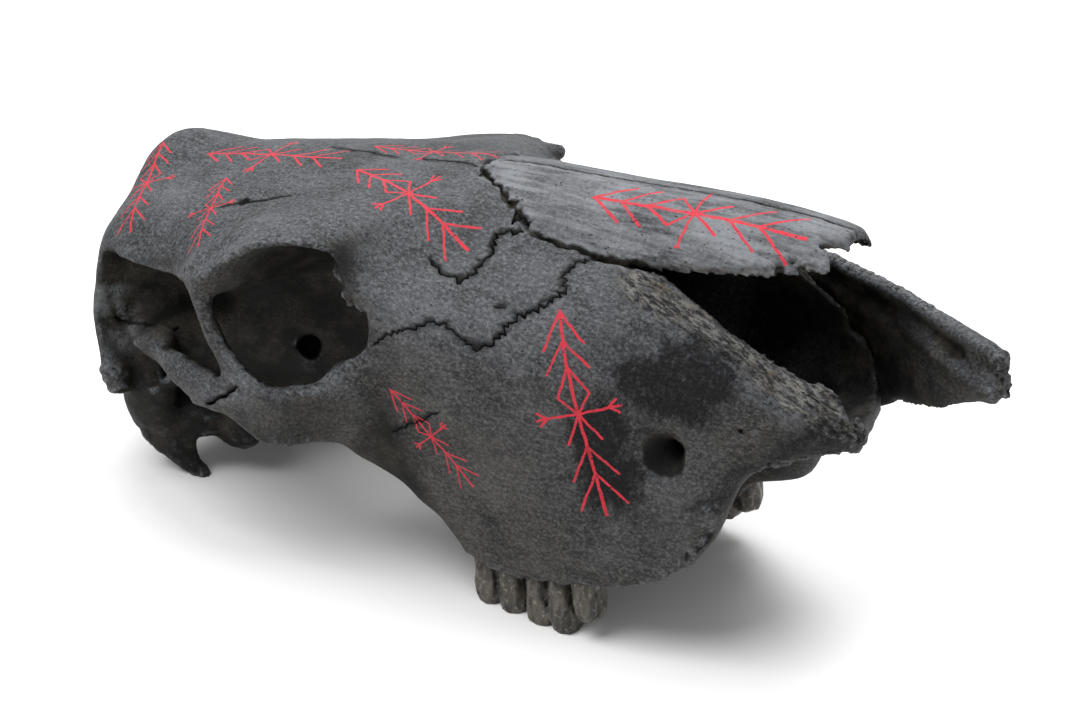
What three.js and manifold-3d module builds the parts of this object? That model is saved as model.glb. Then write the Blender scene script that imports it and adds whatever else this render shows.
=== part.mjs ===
// A young hornless cow skull without its lower jaw, resting on its molars and paracondylar processes.
// Millimetres, +Z up. The skull is shaped in its own frame, X to the nose, Y to the animal's left,
// with its palate level, and is then pitched nose-up onto its four contact points.

import * as THREE from 'three';
import { mergeVertices } from 'three/addons/utils/BufferGeometryUtils.js';
import Module from 'manifold-3d';

const wasm = await Module();
wasm.setup();

// Driving dimensions
const SEAM = 0.3;
const BODY_STEP = 17;
const MOLAR_CONTACT = new THREE.Vector3(4, 55, -43);
const PROCESS_CONTACT = new THREE.Vector3(-182.5, 50, 23.5);
const ORBIT_CENTRE = new THREE.Vector3(-72, 88, 99);
const ORBIT_RADII = new THREE.Vector3(33.5, 56, 27.5);
const ORBIT_TILT = -0.12;
const BRAIN_CENTRE = new THREE.Vector3(-150, 0, 102);
const BRAIN_RADII = new THREE.Vector3(38, 36, 31);
const NASAL_THICKNESS = 4.6;
const SEAT_HEIGHT = 20;
const SEAT_OVERLAP = 2;
const TOOTH_HALF_LENGTH = 6;
const TOOTH_HALF_WIDTH = 7.6;
const ROOT_DEPTH = 9;
const LEFT = 1;
const RIGHT = -1;
const SIDES = [LEFT, RIGHT];

const BONE_COLOUR = 0x3d4045;
const NASAL_COLOUR = 0x44474c;
const TOOTH_COLOUR = 0x5b564c;

// Outer form of the cranium: for each X, half outlines of [y, z] from the roof's midline out over the
// roof edge, down the wall and back to the midline of the base.
const BODY_STATIONS = [
  { x: -205, half: [[0, 159], [10, 156], [20, 150], [30, 141], [41, 129], [50, 115], [54, 100], [52, 87],
    [43, 75], [30, 66], [20, 58], [10, 55], [0, 55]] },
  { x: -199, half: [[0, 165], [14, 161], [26, 152], [38, 142], [52, 133], [62, 120], [70, 105], [72, 88],
    [62, 71], [42, 58], [24, 51], [12, 49], [0, 49]] },
  { x: -191, half: [[0, 168.5], [17, 163], [30, 155], [43, 146], [60, 136], [69, 120], [77, 105], [79, 88],
    [73, 70], [46, 55], [24, 49], [12, 48], [0, 48]] },
  { x: -184, half: [[0, 168.5], [19, 161], [35, 153], [50, 146], [65, 134], [65, 121], [62, 106], [69, 91],
    [67, 74], [46, 56], [24, 49], [12, 48], [0, 48]] },
  { x: -170, half: [[0, 161], [20, 155], [41, 150], [58, 142], [71, 127], [62, 119], [54, 106], [63, 92],
    [60, 76], [44, 60], [22, 50], [10, 49], [0, 49]] },
  { x: -152, half: [[0, 157], [20, 154], [42, 148], [61, 139], [75, 122], [64, 115], [50, 107], [50, 92],
    [48, 77], [40, 62], [24, 52], [10, 51], [0, 51]] },
  { x: -134, half: [[0, 155], [20, 152], [42, 146], [63, 138], [81, 120], [70, 113], [48, 106], [46, 92],
    [43, 76], [36, 62], [24, 52], [10, 50], [0, 50]] },
  { x: -118, half: [[0, 153], [22, 150], [46, 144], [71, 135], [92, 118.5], [82, 110], [45, 105], [41, 92],
    [38, 76], [34, 60], [24, 48], [10, 46], [0, 46]] },
  { x: -104, half: [[0, 151], [22, 148], [47, 142], [75, 134], [96, 119], [86, 111], [39, 106], [34, 92],
    [31, 74], [28, 58], [20, 46], [8, 44], [0, 44]] },
  { x: -90, half: [[0, 149], [22, 146], [48, 140], [77, 135.5], [94, 126.5], [84, 117], [37, 108], [31, 92],
    [28, 72], [24, 56], [17, 44], [7, 41], [0, 41]] },
  { x: -75, half: [[0, 146], [22, 144], [47, 138.5], [76, 134.5], [92, 130.5], [82, 120], [38, 110],
    [32, 92], [27, 70], [20, 52], [15, 40], [7, 36], [0, 36]] },
  { x: -62, half: [[0, 143], [22, 142], [46, 138], [70, 133.5], [86, 128.5], [79, 118], [42, 109], [36, 92],
    [30, 70], [21, 50], [15, 36], [8, 32], [0, 32]] },
  { x: -53, half: [[0, 141], [22, 140], [45, 136], [66, 132], [81, 124.5], [80, 114], [64, 104], [56, 90],
    [48, 70], [36, 46], [24, 26], [9, 24], [0, 24]] },
  { x: -45, half: [[0, 140], [21, 138], [43, 134], [62, 129], [74, 119], [80, 106], [77, 96], [72, 78],
    [66, 50], [60, 12], [44, 4], [26, 14], [0, 19]] },
  { x: -36, half: [[0, 139], [20, 137], [41, 130], [58, 119], [70, 109], [78, 99], [79, 88], [77, 70],
    [71, 42], [62, -7], [49, -9], [33, 4], [0, 12]] },
  { x: -20, half: [[0, 136], [18, 134], [36, 125], [52, 111], [66, 99], [74, 88], [76, 73], [74, 53],
    [68, 24], [61, -18], [47, -18], [32, 1], [0, 8]] },
  { x: 0, half: [[0, 131], [16, 129], [30, 120], [45, 105], [58, 95], [67, 84], [71, 69], [70, 47], [67, 16],
    [61, -21], [46, -21], [32, 0], [0, 6]] },
  { x: 20, half: [[0, 126], [14, 125], [26, 117], [38, 104], [50, 95], [60, 82], [66, 65], [68, 43], [66, 12],
    [61, -23], [46, -23], [31, -1], [0, 5]] },
  { x: 40, half: [[0, 104], [22, 103], [35, 99], [43, 93], [52, 84], [58, 71], [61, 54], [61, 34], [60, 6],
    [57, -24], [43, -24], [29, 0], [0, 5]] },
  { x: 60, half: [[0, 96], [22, 96], [33, 95], [43, 82], [49, 72], [53, 57], [54, 41], [53, 24], [52, 3],
    [50, -20], [38, -20], [27, 1], [0, 6]] },
  { x: 72, half: [[0, 85], [21, 85], [33, 85], [44, 73], [48, 64], [50, 51], [49, 37], [48, 21], [47, 4],
    [45, -10], [36, -9], [26, 4], [0, 7]] },
  { x: 84, half: [[0, 74], [20, 74], [33, 74], [44, 64], [47, 55], [47, 45], [45, 34], [43, 24],
    [41, 17], [38, 12], [31, 10], [22, 10], [0, 11]] },
  { x: 99, half: [[0, 59], [20, 59], [31, 59], [42, 50], [44, 44], [43, 37], [41, 30], [38, 23],
    [35, 18], [32, 15], [27, 13], [18, 13], [0, 13]] },
  { x: 114, half: [[0, 48], [18, 48], [28, 48], [39, 36], [40, 32], [39, 28], [37, 25], [34, 21],
    [31, 18], [28, 16], [23, 15], [15, 15], [0, 15]] },
  { x: 128, half: [[0, 42], [17, 42], [26, 42], [32, 26], [33, 24], [33, 23], [32, 22], [30, 20],
    [28, 19], [25, 18], [20, 17], [12, 17], [0, 18]] },
  { x: 134, half: [[0, 35], [15, 35], [22, 35], [26, 26], [26, 25], [26, 24], [25, 22], [24, 21], [22, 20],
    [19, 19], [15, 18], [8, 18], [0, 19]] },
];

// The nasal cavity, open above where the nasal bones roof it and open in front.
const NASAL_CAVITY_STATIONS = [
  { x: -26, half: [[0, 104], [10, 103], [18, 92], [21, 75], [19, 48], [14, 26], [0, 20]] },
  { x: -8, half: [[0, 116], [14, 114], [26, 100], [31, 78], [30, 48], [22, 20], [0, 14]] },
  { x: 14, half: [[0, 119], [17, 117], [27, 104], [36, 80], [36, 50], [28, 20], [0, 13]] },
  { x: 30, half: [[0, 140], [27, 140], [29, 104], [37, 82], [38, 52], [31, 20], [0, 13]] },
  { x: 60, half: [[0, 140], [27, 140], [28, 98], [38, 74], [40, 48], [32, 20], [0, 13]] },
  { x: 86, half: [[0, 140], [27, 140], [28, 76], [36, 60], [37, 44], [30, 22], [0, 17]] },
  { x: 110, half: [[0, 140], [23, 140], [24, 54], [31, 44], [31, 34], [24, 24], [0, 20]] },
  { x: 137, half: [[0, 140], [21, 140], [22, 42], [24, 36], [24, 30], [18, 25], [0, 23.5]] },
  { x: 150, half: [[0, 140], [21, 140], [22, 42], [24, 36], [24, 30], [18, 25], [0, 23.5]] },
];

// Nasal bones: height of the midline seam, and the side margin's distance and height.
const NASAL_STATIONS = [
  { x: -22, mid: 136, side: 10, margin: 134.5 },
  { x: -14, mid: 134.5, side: 17, margin: 131 },
  { x: -4, mid: 132.5, side: 22, margin: 126 },
  { x: 4, mid: 130.5, side: 27, margin: 119 },
  { x: 13, mid: 128, side: 32, margin: 111 },
  { x: 28, mid: 124, side: 33, margin: 104 },
  { x: 44, mid: 120, side: 32, margin: 99 },
  { x: 60, mid: 116, side: 31, margin: 96.5 },
  { x: 76, mid: 112, side: 30, margin: 93.5 },
  { x: 92, mid: 107.5, side: 28, margin: 91 },
  { x: 106, mid: 103, side: 25, margin: 88 },
  { x: 119, mid: 98.5, side: 21, margin: 86.5 },
  { x: 127, mid: 95, side: 18, margin: 86 },
  { x: 132, mid: 93, side: 9, margin: 90 },
];

// Outline of the notch between the two prongs of a nasal bone's front end, as [x, y].
const NASAL_NOTCH = [[121, 12.5], [128, 15.5], [129.5, 30], [145, 30], [145, 7.5], [130, 8]];
const NASAL_NOTCH_FLOOR = 70;

// The cheek plate under the orbit and back along the arch: its upper and lower edges.
const CHEEK_STATIONS = [
  { top: [-30, 74, 92], bottom: [-38, 59, -3], half: 5 },
  { top: [-38, 78, 88], bottom: [-46, 60, 8], half: 5 },
  { top: [-47, 79, 81], bottom: [-54, 64, 22], half: 5 },
  { top: [-58, 82, 75], bottom: [-63, 70, 33], half: 5 },
  { top: [-70, 85, 71], bottom: [-72, 77, 45.5], half: 5 },
  { top: [-83, 88, 71], bottom: [-86, 87, 46], half: 4.6 },
  { top: [-95, 90, 74], bottom: [-97, 91, 48.5], half: 4.4 },
  { top: [-106, 92, 74], bottom: [-106, 94, 60], half: 4 },
  { top: [-117, 93, 71], bottom: [-117, 94, 65.5], half: 3.4 },
  { top: [-129, 92, 71], bottom: [-129, 91, 68.5], half: 2.6 },
];

// The arch outside the temple, from behind the eye round to the side of the braincase.
const TEMPORAL_ARCH = [
  { top: [-98, 90, 72], bottom: [-103, 94, 60], half: 3.5 },
  { top: [-106, 90, 76], bottom: [-110, 94, 63], half: 3.5 },
  { top: [-117, 88, 80], bottom: [-121, 93, 67], half: 3.5 },
  { top: [-130, 85, 85], bottom: [-132, 91, 71], half: 3.8 },
  { top: [-142, 81, 88.5], bottom: [-142, 88, 75.5], half: 4.2 },
  { top: [-152, 76, 91.5], bottom: [-150, 84, 81], half: 4.5 },
  { top: [-163, 69, 92], bottom: [-159, 78, 82], half: 5 },
  { top: [-172, 58, 93], bottom: [-168, 65, 80], half: 6 },
  { top: [-176, 46, 93], bottom: [-170, 48, 79], half: 7 },
];

// Bars and processes swept along a curve: centre, then half sizes across and through.
const POSTORBITAL_BAR = [
  { at: [-111, 80, 124], across: 10, through: 5 },
  { at: [-110.5, 89, 121], across: 8.4, through: 5.5 },
  { at: [-111, 90.5, 113.5], across: 5, through: 4.8 },
  { at: [-110.8, 90, 103], across: 4.2, through: 4.4 },
  { at: [-109.6, 89.5, 93], across: 4.4, through: 4.3 },
  { at: [-107, 88.5, 83.5], across: 5.2, through: 4.5 },
  { at: [-102, 89, 74.5], across: 7.5, through: 4.6 },
  { at: [-97, 89.5, 69], across: 8, through: 4 },
];
const PARACONDYLAR_PROCESS = [
  { at: [-186, 62, 72], across: 14, through: 9 },
  { at: [-190, 60, 57], across: 14, through: 8 },
  { at: [-190, 56, 44], across: 12, through: 6.5 },
  { at: [-187.5, 52, 34], across: 9, through: 5.5 },
  { at: [-184.5, 50, 27], across: 6.5, through: 5 },
  { at: [-182, 50, 20], across: 5, through: 4.5 },
];
const PTERYGOID_PLATE = [
  { top: [-34, 20, 44], bottom: [-36, 18, 4], half: 3.4 },
  { top: [-50, 19, 46], bottom: [-50, 17, 8], half: 2.8 },
  { top: [-66, 18, 50], bottom: [-66, 17, 15], half: 2.6 },
  { top: [-82, 18, 56], bottom: [-82, 19, 26], half: 2.6 },
  { top: [-98, 20, 62], bottom: [-96, 23, 40], half: 2.4 },
];

const CHOANA = [
  { at: [-14, 0, 32], across: 14, through: 12 },
  { at: [-40, 0, 31], across: 15, through: 13 },
  { at: [-66, 0, 29], across: 17, through: 13.5 },
  { at: [-92, 0, 30], across: 20, through: 14 },
  { at: [-112, 0, 34], across: 22, through: 15 },
];
const FORAMEN_MAGNUM = { from: [-225, 0, 83], to: [-165, 0, 84], radius: 16 };

// Rounded swellings of the base and the back, and the bony ear tube.
const SWELLINGS = {
  mastoid: { at: [-189.5, 75.5, 78], radii: [7.5, 6.5, 10.5], tilt: 0 },
  lacrimalBulla: { at: [-56, 56, 50], radii: [22, 15, 17], tilt: 0 },
  tympanicBulla: { at: [-165, 36, 44], radii: [15, 9, 16], tilt: 0.3 },
  styloidSheath: { at: [-176, 46, 51], radii: [11, 10, 13], tilt: 0 },
  condyle: { at: [-203, 21, 62], radii: [13, 13, 19], tilt: -0.35 },
};
const EAR_TUBE = { from: [-164, 44, 68], to: [-170, 66, 77], radius: 9, endRadius: 7.5 };

// Holes through the bone for the ear, nerves and vessels.
const OPENINGS = {
  ear: { from: [-166, 52, 72], to: [-172, 72, 79], radius: 3.6, endRadius: 4.4 },
  optic: { from: [-124, 22, 72], to: [-104, 46, 75], radius: 5.5, endRadius: 5.5 },
  infraorbital: { from: [60, 40, 27], to: [72, 58, 28], radius: 3.2, endRadius: 5.5 },
  infraorbitalFront: { from: [86, 34, 28], to: [92, 50, 27], radius: 1.6, endRadius: 2 },
};

// Left premaxilla: upper and lower edges of its wall.
const PREMAXILLA_STATIONS = [
  { top: [78, 36.5, 85], bottom: [82, 43, 66], half: 2 },
  { top: [90, 38.5, 78], bottom: [95, 45, 46], half: 2.2 },
  { top: [102, 38, 71.5], bottom: [106, 39, 26], half: 2.3 },
  { top: [114, 35.5, 66], bottom: [116, 30, 18.5], half: 2.4 },
  { top: [128, 31, 60], bottom: [130, 22, 18], half: 2.6 },
  { top: [141, 25, 54.5], bottom: [143, 16, 18.5], half: 2.9 },
  { top: [154, 19, 49], bottom: [154, 13.5, 21], half: 3.2 },
  { top: [166, 13.5, 43.5], bottom: [165, 10.5, 22], half: 3.6 },
  { top: [175, 10.5, 39.5], bottom: [175, 9.5, 23], half: 3.6 },
];

// Worn cheek teeth: each lobe's place along the row and how far its crown reaches.
const MOLAR_2_LOBES = [{ x: -29.5, tip: -33 }, { x: -19, tip: -37 }];
const MOLAR_1_LOBES = [{ x: -6.5, tip: -43 }, { x: 4, tip: -45 }];
const TEETH = [
  { name: 'upper_right_molar_2', side: RIGHT, lobes: MOLAR_2_LOBES },
  { name: 'upper_right_molar_1', side: RIGHT, lobes: MOLAR_1_LOBES },
  { name: 'upper_right_premolar_4', side: RIGHT, lobes: [{ x: 17, tip: -38.5 }] },
  { name: 'upper_left_molar_2', side: LEFT, lobes: MOLAR_2_LOBES },
  { name: 'upper_left_molar_1', side: LEFT, lobes: MOLAR_1_LOBES },
  { name: 'upper_left_premolar_4', side: LEFT, lobes: [{ x: 17, tip: -38 }, { x: 27, tip: -35 }] },
];
const EMPTY_SOCKETS = [32, 44, 55];
const SOCKET = { foot: 51, top: 49, floor: -40, ceiling: -12, toIn: 0.18, radius: 5.6, topRadius: 3 };

// What is broken away: the slanting front of the palate, the left wall where the premaxilla takes over,
// and the edge of the left tooth row. Each turn is about Y, then about Z.
const BREAKS = {
  palateFront: { size: [60, 200, 120], turn: [0, 0.36], at: [155, 0.5, 20] },
  leftWall: { size: [60, 60, 80], turn: [0.35, 0], at: [142, 40, 74] },
  leftRowEdge: { size: [60, 60, 30], turn: [-0.1, 0], at: [63, 50, -32] },
};

function vertexOf(list, side = LEFT) {
  return new THREE.Vector3(list[0], list[1] * side, list[2]);
}

// A closed surface through rings of equal length, with a fan over each end.
function loft(rings) {
  const count = rings[0].length;
  const positions = [];
  const indices = [];
  rings.forEach((ring) => ring.forEach((p) => positions.push(p.x, p.y, p.z)));
  const centres = [rings[0], rings[rings.length - 1]].map((ring) => {
    const centre = ring.reduce((sum, p) => sum.add(p), new THREE.Vector3()).divideScalar(count);
    positions.push(centre.x, centre.y, centre.z);
    return positions.length / 3 - 1;
  });
  const last = (rings.length - 1) * count;
  for (let i = 0; i < count; i += 1) {
    const j = (i + 1) % count;
    for (let r = 0; r < rings.length - 1; r += 1) {
      const a = r * count;
      const b = a + count;
      indices.push(a + i, b + i, b + j, a + i, b + j, a + j);
    }
    indices.push(centres[0], i, j, centres[1], last + j, last + i);
  }
  const geometry = new THREE.BufferGeometry();
  geometry.setAttribute('position', new THREE.Float32BufferAttribute(positions, 3));
  geometry.setIndex(indices);
  return geometry;
}

function signedVolume(geometry) {
  const p = geometry.getAttribute('position');
  const index = geometry.getIndex().array;
  const corner = (i) => new THREE.Vector3().fromBufferAttribute(p, index[i]);
  let volume = 0;
  for (let i = 0; i < index.length; i += 3) {
    volume += corner(i).dot(corner(i + 1).cross(corner(i + 2))) / 6;
  }
  return volume;
}

// A closed geometry becomes a solid with its faces outwards.
function solid(source) {
  const bare = source.clone();
  bare.deleteAttribute('normal');
  bare.deleteAttribute('uv');
  const geometry = mergeVertices(bare, 1e-4);
  const index = Uint32Array.from(geometry.getIndex().array);
  if (signedVolume(geometry) < 0) {
    for (let i = 0; i < index.length; i += 3) {
      [index[i + 1], index[i + 2]] = [index[i + 2], index[i + 1]];
    }
  }
  const vertProperties = Float32Array.from(geometry.getAttribute('position').array);
  return new wasm.Manifold(new wasm.Mesh({ numProp: 3, vertProperties, triVerts: index }));
}

function geometryOf(manifold) {
  const mesh = manifold.getMesh();
  const geometry = new THREE.BufferGeometry();
  geometry.setAttribute('position', new THREE.Float32BufferAttribute(mesh.vertProperties, 3));
  geometry.setIndex(new THREE.Uint32BufferAttribute(mesh.triVerts, 1));
  const flat = geometry.toNonIndexed();
  flat.computeVertexNormals();
  return flat;
}

// Rows of points, with one more row on a smooth curve between any two that stand far apart.
function refine(rows, reach) {
  const columns = rows[0].map((_, c) => {
    return new THREE.CatmullRomCurve3(rows.map((row) => row[c]), false, 'centripetal');
  });
  const gaps = rows.length - 1;
  const fine = [rows[0]];
  for (let i = 0; i < gaps; i += 1) {
    if (rows[i][0].distanceTo(rows[i + 1][0]) > reach) {
      fine.push(columns.map((curve) => curve.getPoint((i + 0.5) / gaps)));
    }
    fine.push(rows[i + 1]);
  }
  return fine;
}

// Half outlines mirrored over the midline plane.
function symmetricRings(stations) {
  return stations.map(({ x, half }) => {
    const near = half.map(([y, z]) => new THREE.Vector3(x, y, z));
    const far = half.slice(1, -1).reverse().map(([y, z]) => new THREE.Vector3(x, -y, z));
    return near.concat(far);
  });
}

// A band between an upper and a lower edge, rounded over its thickness.
function plate(stations, side, sides = 10, grow = 0) {
  const upper = stations.map((s) => vertexOf(s.top, side));
  const lower = stations.map((s) => vertexOf(s.bottom, side));
  const middle = upper.map((p, i) => p.clone().add(lower[i]).multiplyScalar(0.5));
  const rings = stations.map((station, i) => {
    const ahead = middle[Math.min(i + 1, middle.length - 1)];
    const behind = middle[Math.max(i - 1, 0)];
    const tangent = ahead.clone().sub(behind).normalize();
    const rise = upper[i].clone().sub(lower[i]).multiplyScalar(0.5);
    const outward = tangent.clone().cross(rise).normalize().multiplyScalar(station.half + grow);
    rise.setLength(rise.length() + grow);
    return ellipseRing(middle[i], rise, outward, sides, 0.72);
  });
  return loft(rings);
}

// A closed ring about a centre; a power under one squares the ellipse.
function ellipseRing(centre, up, out, sides, power = 1) {
  const ring = [];
  for (let k = 0; k < sides; k += 1) {
    const angle = (2 * Math.PI * k) / sides;
    const c = Math.cos(angle);
    const s = Math.sin(angle);
    const rise = Math.sign(c) * Math.abs(c) ** power;
    const reach = Math.sign(s) * Math.abs(s) ** power;
    ring.push(centre.clone().addScaledVector(up, rise).addScaledVector(out, reach));
  }
  return ring;
}

// A bar along a curve, wide across in the plane of the curve and outward, and thin through it.
function bar(stations, side, throughAxis, sides = 8) {
  const centres = stations.map((s) => vertexOf(s.at, side));
  const rings = stations.map((station, i) => {
    const ahead = centres[Math.min(i + 1, centres.length - 1)];
    const behind = centres[Math.max(i - 1, 0)];
    const tangent = ahead.clone().sub(behind).normalize();
    const across = throughAxis.clone().cross(tangent).normalize();
    const through = tangent.clone().cross(across).normalize();
    across.multiplyScalar(station.across);
    through.multiplyScalar(station.through);
    return ellipseRing(centres[i], across, through, sides, 0.85);
  });
  return loft(rings);
}

function ellipsoid(centre, radii, side = LEFT, tilt = 0, segments = 8) {
  const geometry = new THREE.SphereGeometry(1, segments, Math.ceil(segments * 0.6));
  geometry.rotateX(Math.PI / 2);
  geometry.scale(radii.x, radii.y, radii.z);
  geometry.rotateY(tilt);
  geometry.translate(centre.x, centre.y * side, centre.z);
  return geometry;
}

function tube(from, to, radius, side = LEFT, endRadius = radius) {
  const start = vertexOf(from, side);
  const end = vertexOf(to, side);
  const geometry = new THREE.CylinderGeometry(endRadius, radius, start.distanceTo(end), 8, 1);
  const turn = new THREE.Quaternion();
  turn.setFromUnitVectors(new THREE.Vector3(0, 1, 0), end.clone().sub(start).normalize());
  geometry.applyQuaternion(turn);
  geometry.translate((start.x + end.x) / 2, (start.y + end.y) / 2, (start.z + end.z) / 2);
  return geometry;
}

// Nasal bone: an arched sheet from the midline seam to the side margin.
function nasalRings(side, lift, drop, grow) {
  const columns = [0, 0.3, 0.58, 0.82, 1];
  return NASAL_STATIONS.map(({ x, mid, side: reach, margin }) => {
    const at = (t, offset) => {
      const y = SEAM / 2 + t * (reach + grow - SEAM / 2);
      const z = margin + (mid - margin) * (1 - t ** 2.3) + offset;
      return new THREE.Vector3(x, y * side, z);
    };
    const above = columns.map((t) => at(t, lift));
    const below = columns.slice().reverse().map((t) => at(t, -drop));
    return above.concat(below);
  });
}

function nasalBone(side) {
  const sheet = solid(loft(nasalRings(side, 0, NASAL_THICKNESS, 0)));
  return sheet.subtract(solid(nasalNotch(side)));
}

function nasalNotch(side) {
  const outline = new THREE.Shape(NASAL_NOTCH.map(([x, y]) => new THREE.Vector2(x, y * side)));
  const geometry = new THREE.ExtrudeGeometry(outline, { depth: 60, bevelEnabled: false });
  geometry.translate(0, 0, NASAL_NOTCH_FLOOR);
  return geometry;
}

// The room a nasal bone takes in the cranium, open above and past the midline.
function nasalSeat(side) {
  const rings = nasalRings(side, SEAT_HEIGHT, NASAL_THICKNESS + 3 * SEAM, SEAM);
  rings.flat().filter((p) => Math.abs(p.y) < SEAM).forEach((p) => { p.y = -SEAT_OVERLAP * side; });
  rings[0].forEach((p) => { p.x -= SEAM; });
  return solid(loft(rings));
}

// One tooth lobe: a tapering column from its root to a worn, slightly slanted crown.
function toothLobe({ x, tip }, side, grow = 0) {
  const rootTop = tip + 20 + ROOT_DEPTH;
  const levels = [
    { z: rootTop, size: 0.62, shift: 0 },
    { z: tip + 15, size: 0.92, shift: 0 },
    { z: tip + 8, size: 1, shift: -0.6 },
    { z: tip + 3, size: 0.9, shift: -1 },
    { z: tip, size: 0.62, shift: -1.4 },
  ];
  const rings = levels.map(({ z, size, shift }) => {
    const centre = new THREE.Vector3(x + shift, (MOLAR_CONTACT.y - 1) * side, z);
    const along = new THREE.Vector3(TOOTH_HALF_LENGTH * size + grow, 0, 0);
    const wide = new THREE.Vector3(0, TOOTH_HALF_WIDTH * size + grow, 0);
    return ellipseRing(centre, along, wide, 8, 0.8);
  });
  if (grow > 0) {
    rings[0].forEach((p) => { p.z += grow; });
  }
  return solid(loft(rings));
}

function tooth(lobes, side, grow = 0) {
  const parts = lobes.map((lobe) => toothLobe(lobe, side, grow));
  return parts.reduce((sum, part) => sum.add(part));
}

function premaxilla(grow = 0) {
  return solid(plate(PREMAXILLA_STATIONS, LEFT, 10, grow));
}

// Everything on one side that stands out from the cranium's body.
function sideAdditions(side) {
  const outward = new THREE.Vector3(0, side, 0);
  return [
    plate(CHEEK_STATIONS, side, 8),
    bar(POSTORBITAL_BAR, side, outward),
    plate(TEMPORAL_ARCH, side, 8),
    bar(PARACONDYLAR_PROCESS, side, outward),
    plate(PTERYGOID_PLATE, side, 8),
    ...Object.values(SWELLINGS).map(({ at, radii, tilt }) => {
      return ellipsoid(new THREE.Vector3(...at), new THREE.Vector3(...radii), side, tilt);
    }),
    tube(EAR_TUBE.from, EAR_TUBE.to, EAR_TUBE.radius, side, EAR_TUBE.endRadius),
  ];
}

// Everything on one side that is cut away.
function sideCuts(side) {
  return [
    ellipsoid(ORBIT_CENTRE, ORBIT_RADII, side, ORBIT_TILT, 20),
    ...Object.values(OPENINGS).map(({ from, to, radius, endRadius }) => {
      return tube(from, to, radius, side, endRadius);
    }),
  ];
}

// The two round holes on the midline: back of the nose, and the spinal opening between the condyles.
function midlineCuts() {
  return [
    bar(CHOANA, LEFT, new THREE.Vector3(0, 1, 0)),
    ellipsoid(BRAIN_CENTRE, BRAIN_RADII, LEFT, 0, 12),
    tube(FORAMEN_MAGNUM.from, FORAMEN_MAGNUM.to, FORAMEN_MAGNUM.radius),
  ];
}

function block({ size, turn, at }) {
  const geometry = new THREE.BoxGeometry(...size);
  geometry.rotateY(turn[0]);
  geometry.rotateZ(turn[1]);
  geometry.translate(...at);
  return geometry;
}

// Sockets whose teeth have gone, each a little nearer the midline than the one behind it.
function bareSockets(side) {
  return EMPTY_SOCKETS.map((x) => {
    const inset = (x - EMPTY_SOCKETS[0]) * SOCKET.toIn;
    const foot = [x, SOCKET.foot - inset, SOCKET.floor];
    const top = [x, SOCKET.top - inset, SOCKET.ceiling];
    return tube(foot, top, SOCKET.radius, side, SOCKET.topRadius);
  });
}

function cranium() {
  let bone = solid(loft(refine(symmetricRings(BODY_STATIONS), BODY_STEP)));
  SIDES.forEach((side) => {
    sideAdditions(side).forEach((piece) => { bone = bone.add(solid(piece)); });
  });
  bone = bone.subtract(solid(loft(symmetricRings(NASAL_CAVITY_STATIONS))));
  midlineCuts().forEach((piece) => { bone = bone.subtract(solid(piece)); });
  SIDES.forEach((side) => {
    sideCuts(side).forEach((piece) => { bone = bone.subtract(solid(piece)); });
    bone = bone.subtract(nasalSeat(side));
  });
  TEETH.forEach(({ lobes, side }) => { bone = bone.subtract(tooth(lobes, side, SEAM)); });
  Object.values(BREAKS).forEach((shape) => { bone = bone.subtract(solid(block(shape))); });
  bareSockets(RIGHT).forEach((piece) => { bone = bone.subtract(solid(piece)); });
  return bone.subtract(premaxilla(SEAM));
}

// The resting plane runs through the molar crowns and the tips of the paracondylar processes.
const REST_PITCH = Math.atan2(
  PROCESS_CONTACT.z - MOLAR_CONTACT.z,
  MOLAR_CONTACT.x - PROCESS_CONTACT.x,
);

function wornAtRest(piece) {
  const ground = new THREE.BoxGeometry(600, 400, 100);
  ground.translate(0, 0, -50);
  ground.rotateY(REST_PITCH);
  ground.translate(MOLAR_CONTACT.x, 0, MOLAR_CONTACT.z);
  return piece.subtract(solid(ground));
}

function largestBody(piece) {
  const bodies = piece.decompose();
  return bodies.reduce((best, body) => (body.volume() > best.volume() ? body : best));
}

function finish(name, manifold, colour, roughness) {
  const material = new THREE.MeshStandardMaterial({ color: colour, roughness, metalness: 0 });
  material.name = name;
  const mesh = new THREE.Mesh(geometryOf(manifold), material);
  mesh.name = name;
  return mesh;
}

function skull() {
  const bones = new THREE.Group();
  bones.add(finish('cranium', largestBody(wornAtRest(cranium())), BONE_COLOUR, 0.85));
  bones.add(finish('nasal_bone_right', nasalBone(RIGHT), NASAL_COLOUR, 0.8));
  bones.add(finish('nasal_bone_left', nasalBone(LEFT), NASAL_COLOUR, 0.8));
  bones.add(finish('premaxilla_left', premaxilla(), BONE_COLOUR, 0.85));
  return bones;
}

function dentition() {
  const teeth = new THREE.Group();
  TEETH.forEach(({ name, side, lobes }) => {
    teeth.add(finish(name, wornAtRest(tooth(lobes, side)), TOOTH_COLOUR, 0.6));
  });
  return teeth;
}

// Pitched onto its contacts, with the origin at the middle of its footprint.
const pitched = new THREE.Group();
pitched.rotation.y = -REST_PITCH;
pitched.add(skull(), dentition());

const group = new THREE.Group();
group.name = 'cow_skull';
group.add(pitched);
const extent = new THREE.Box3().setFromObject(group, true);
const middle = extent.getCenter(new THREE.Vector3());
pitched.position.set(-middle.x, -middle.y, -extent.min.z);

export default group;
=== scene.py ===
"""Dresses the cow skull: weathered bone, open sutures, worn teeth and red painted arrow marks."""

import logging
import math
from dataclasses import dataclass, field
from enum import Enum
from itertools import product
from typing import Sequence, Union

import bmesh
import bpy
import numpy as np
from mathutils import Matrix, Vector
from mathutils.bvhtree import BVHTree
from mathutils.kdtree import KDTree


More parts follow.
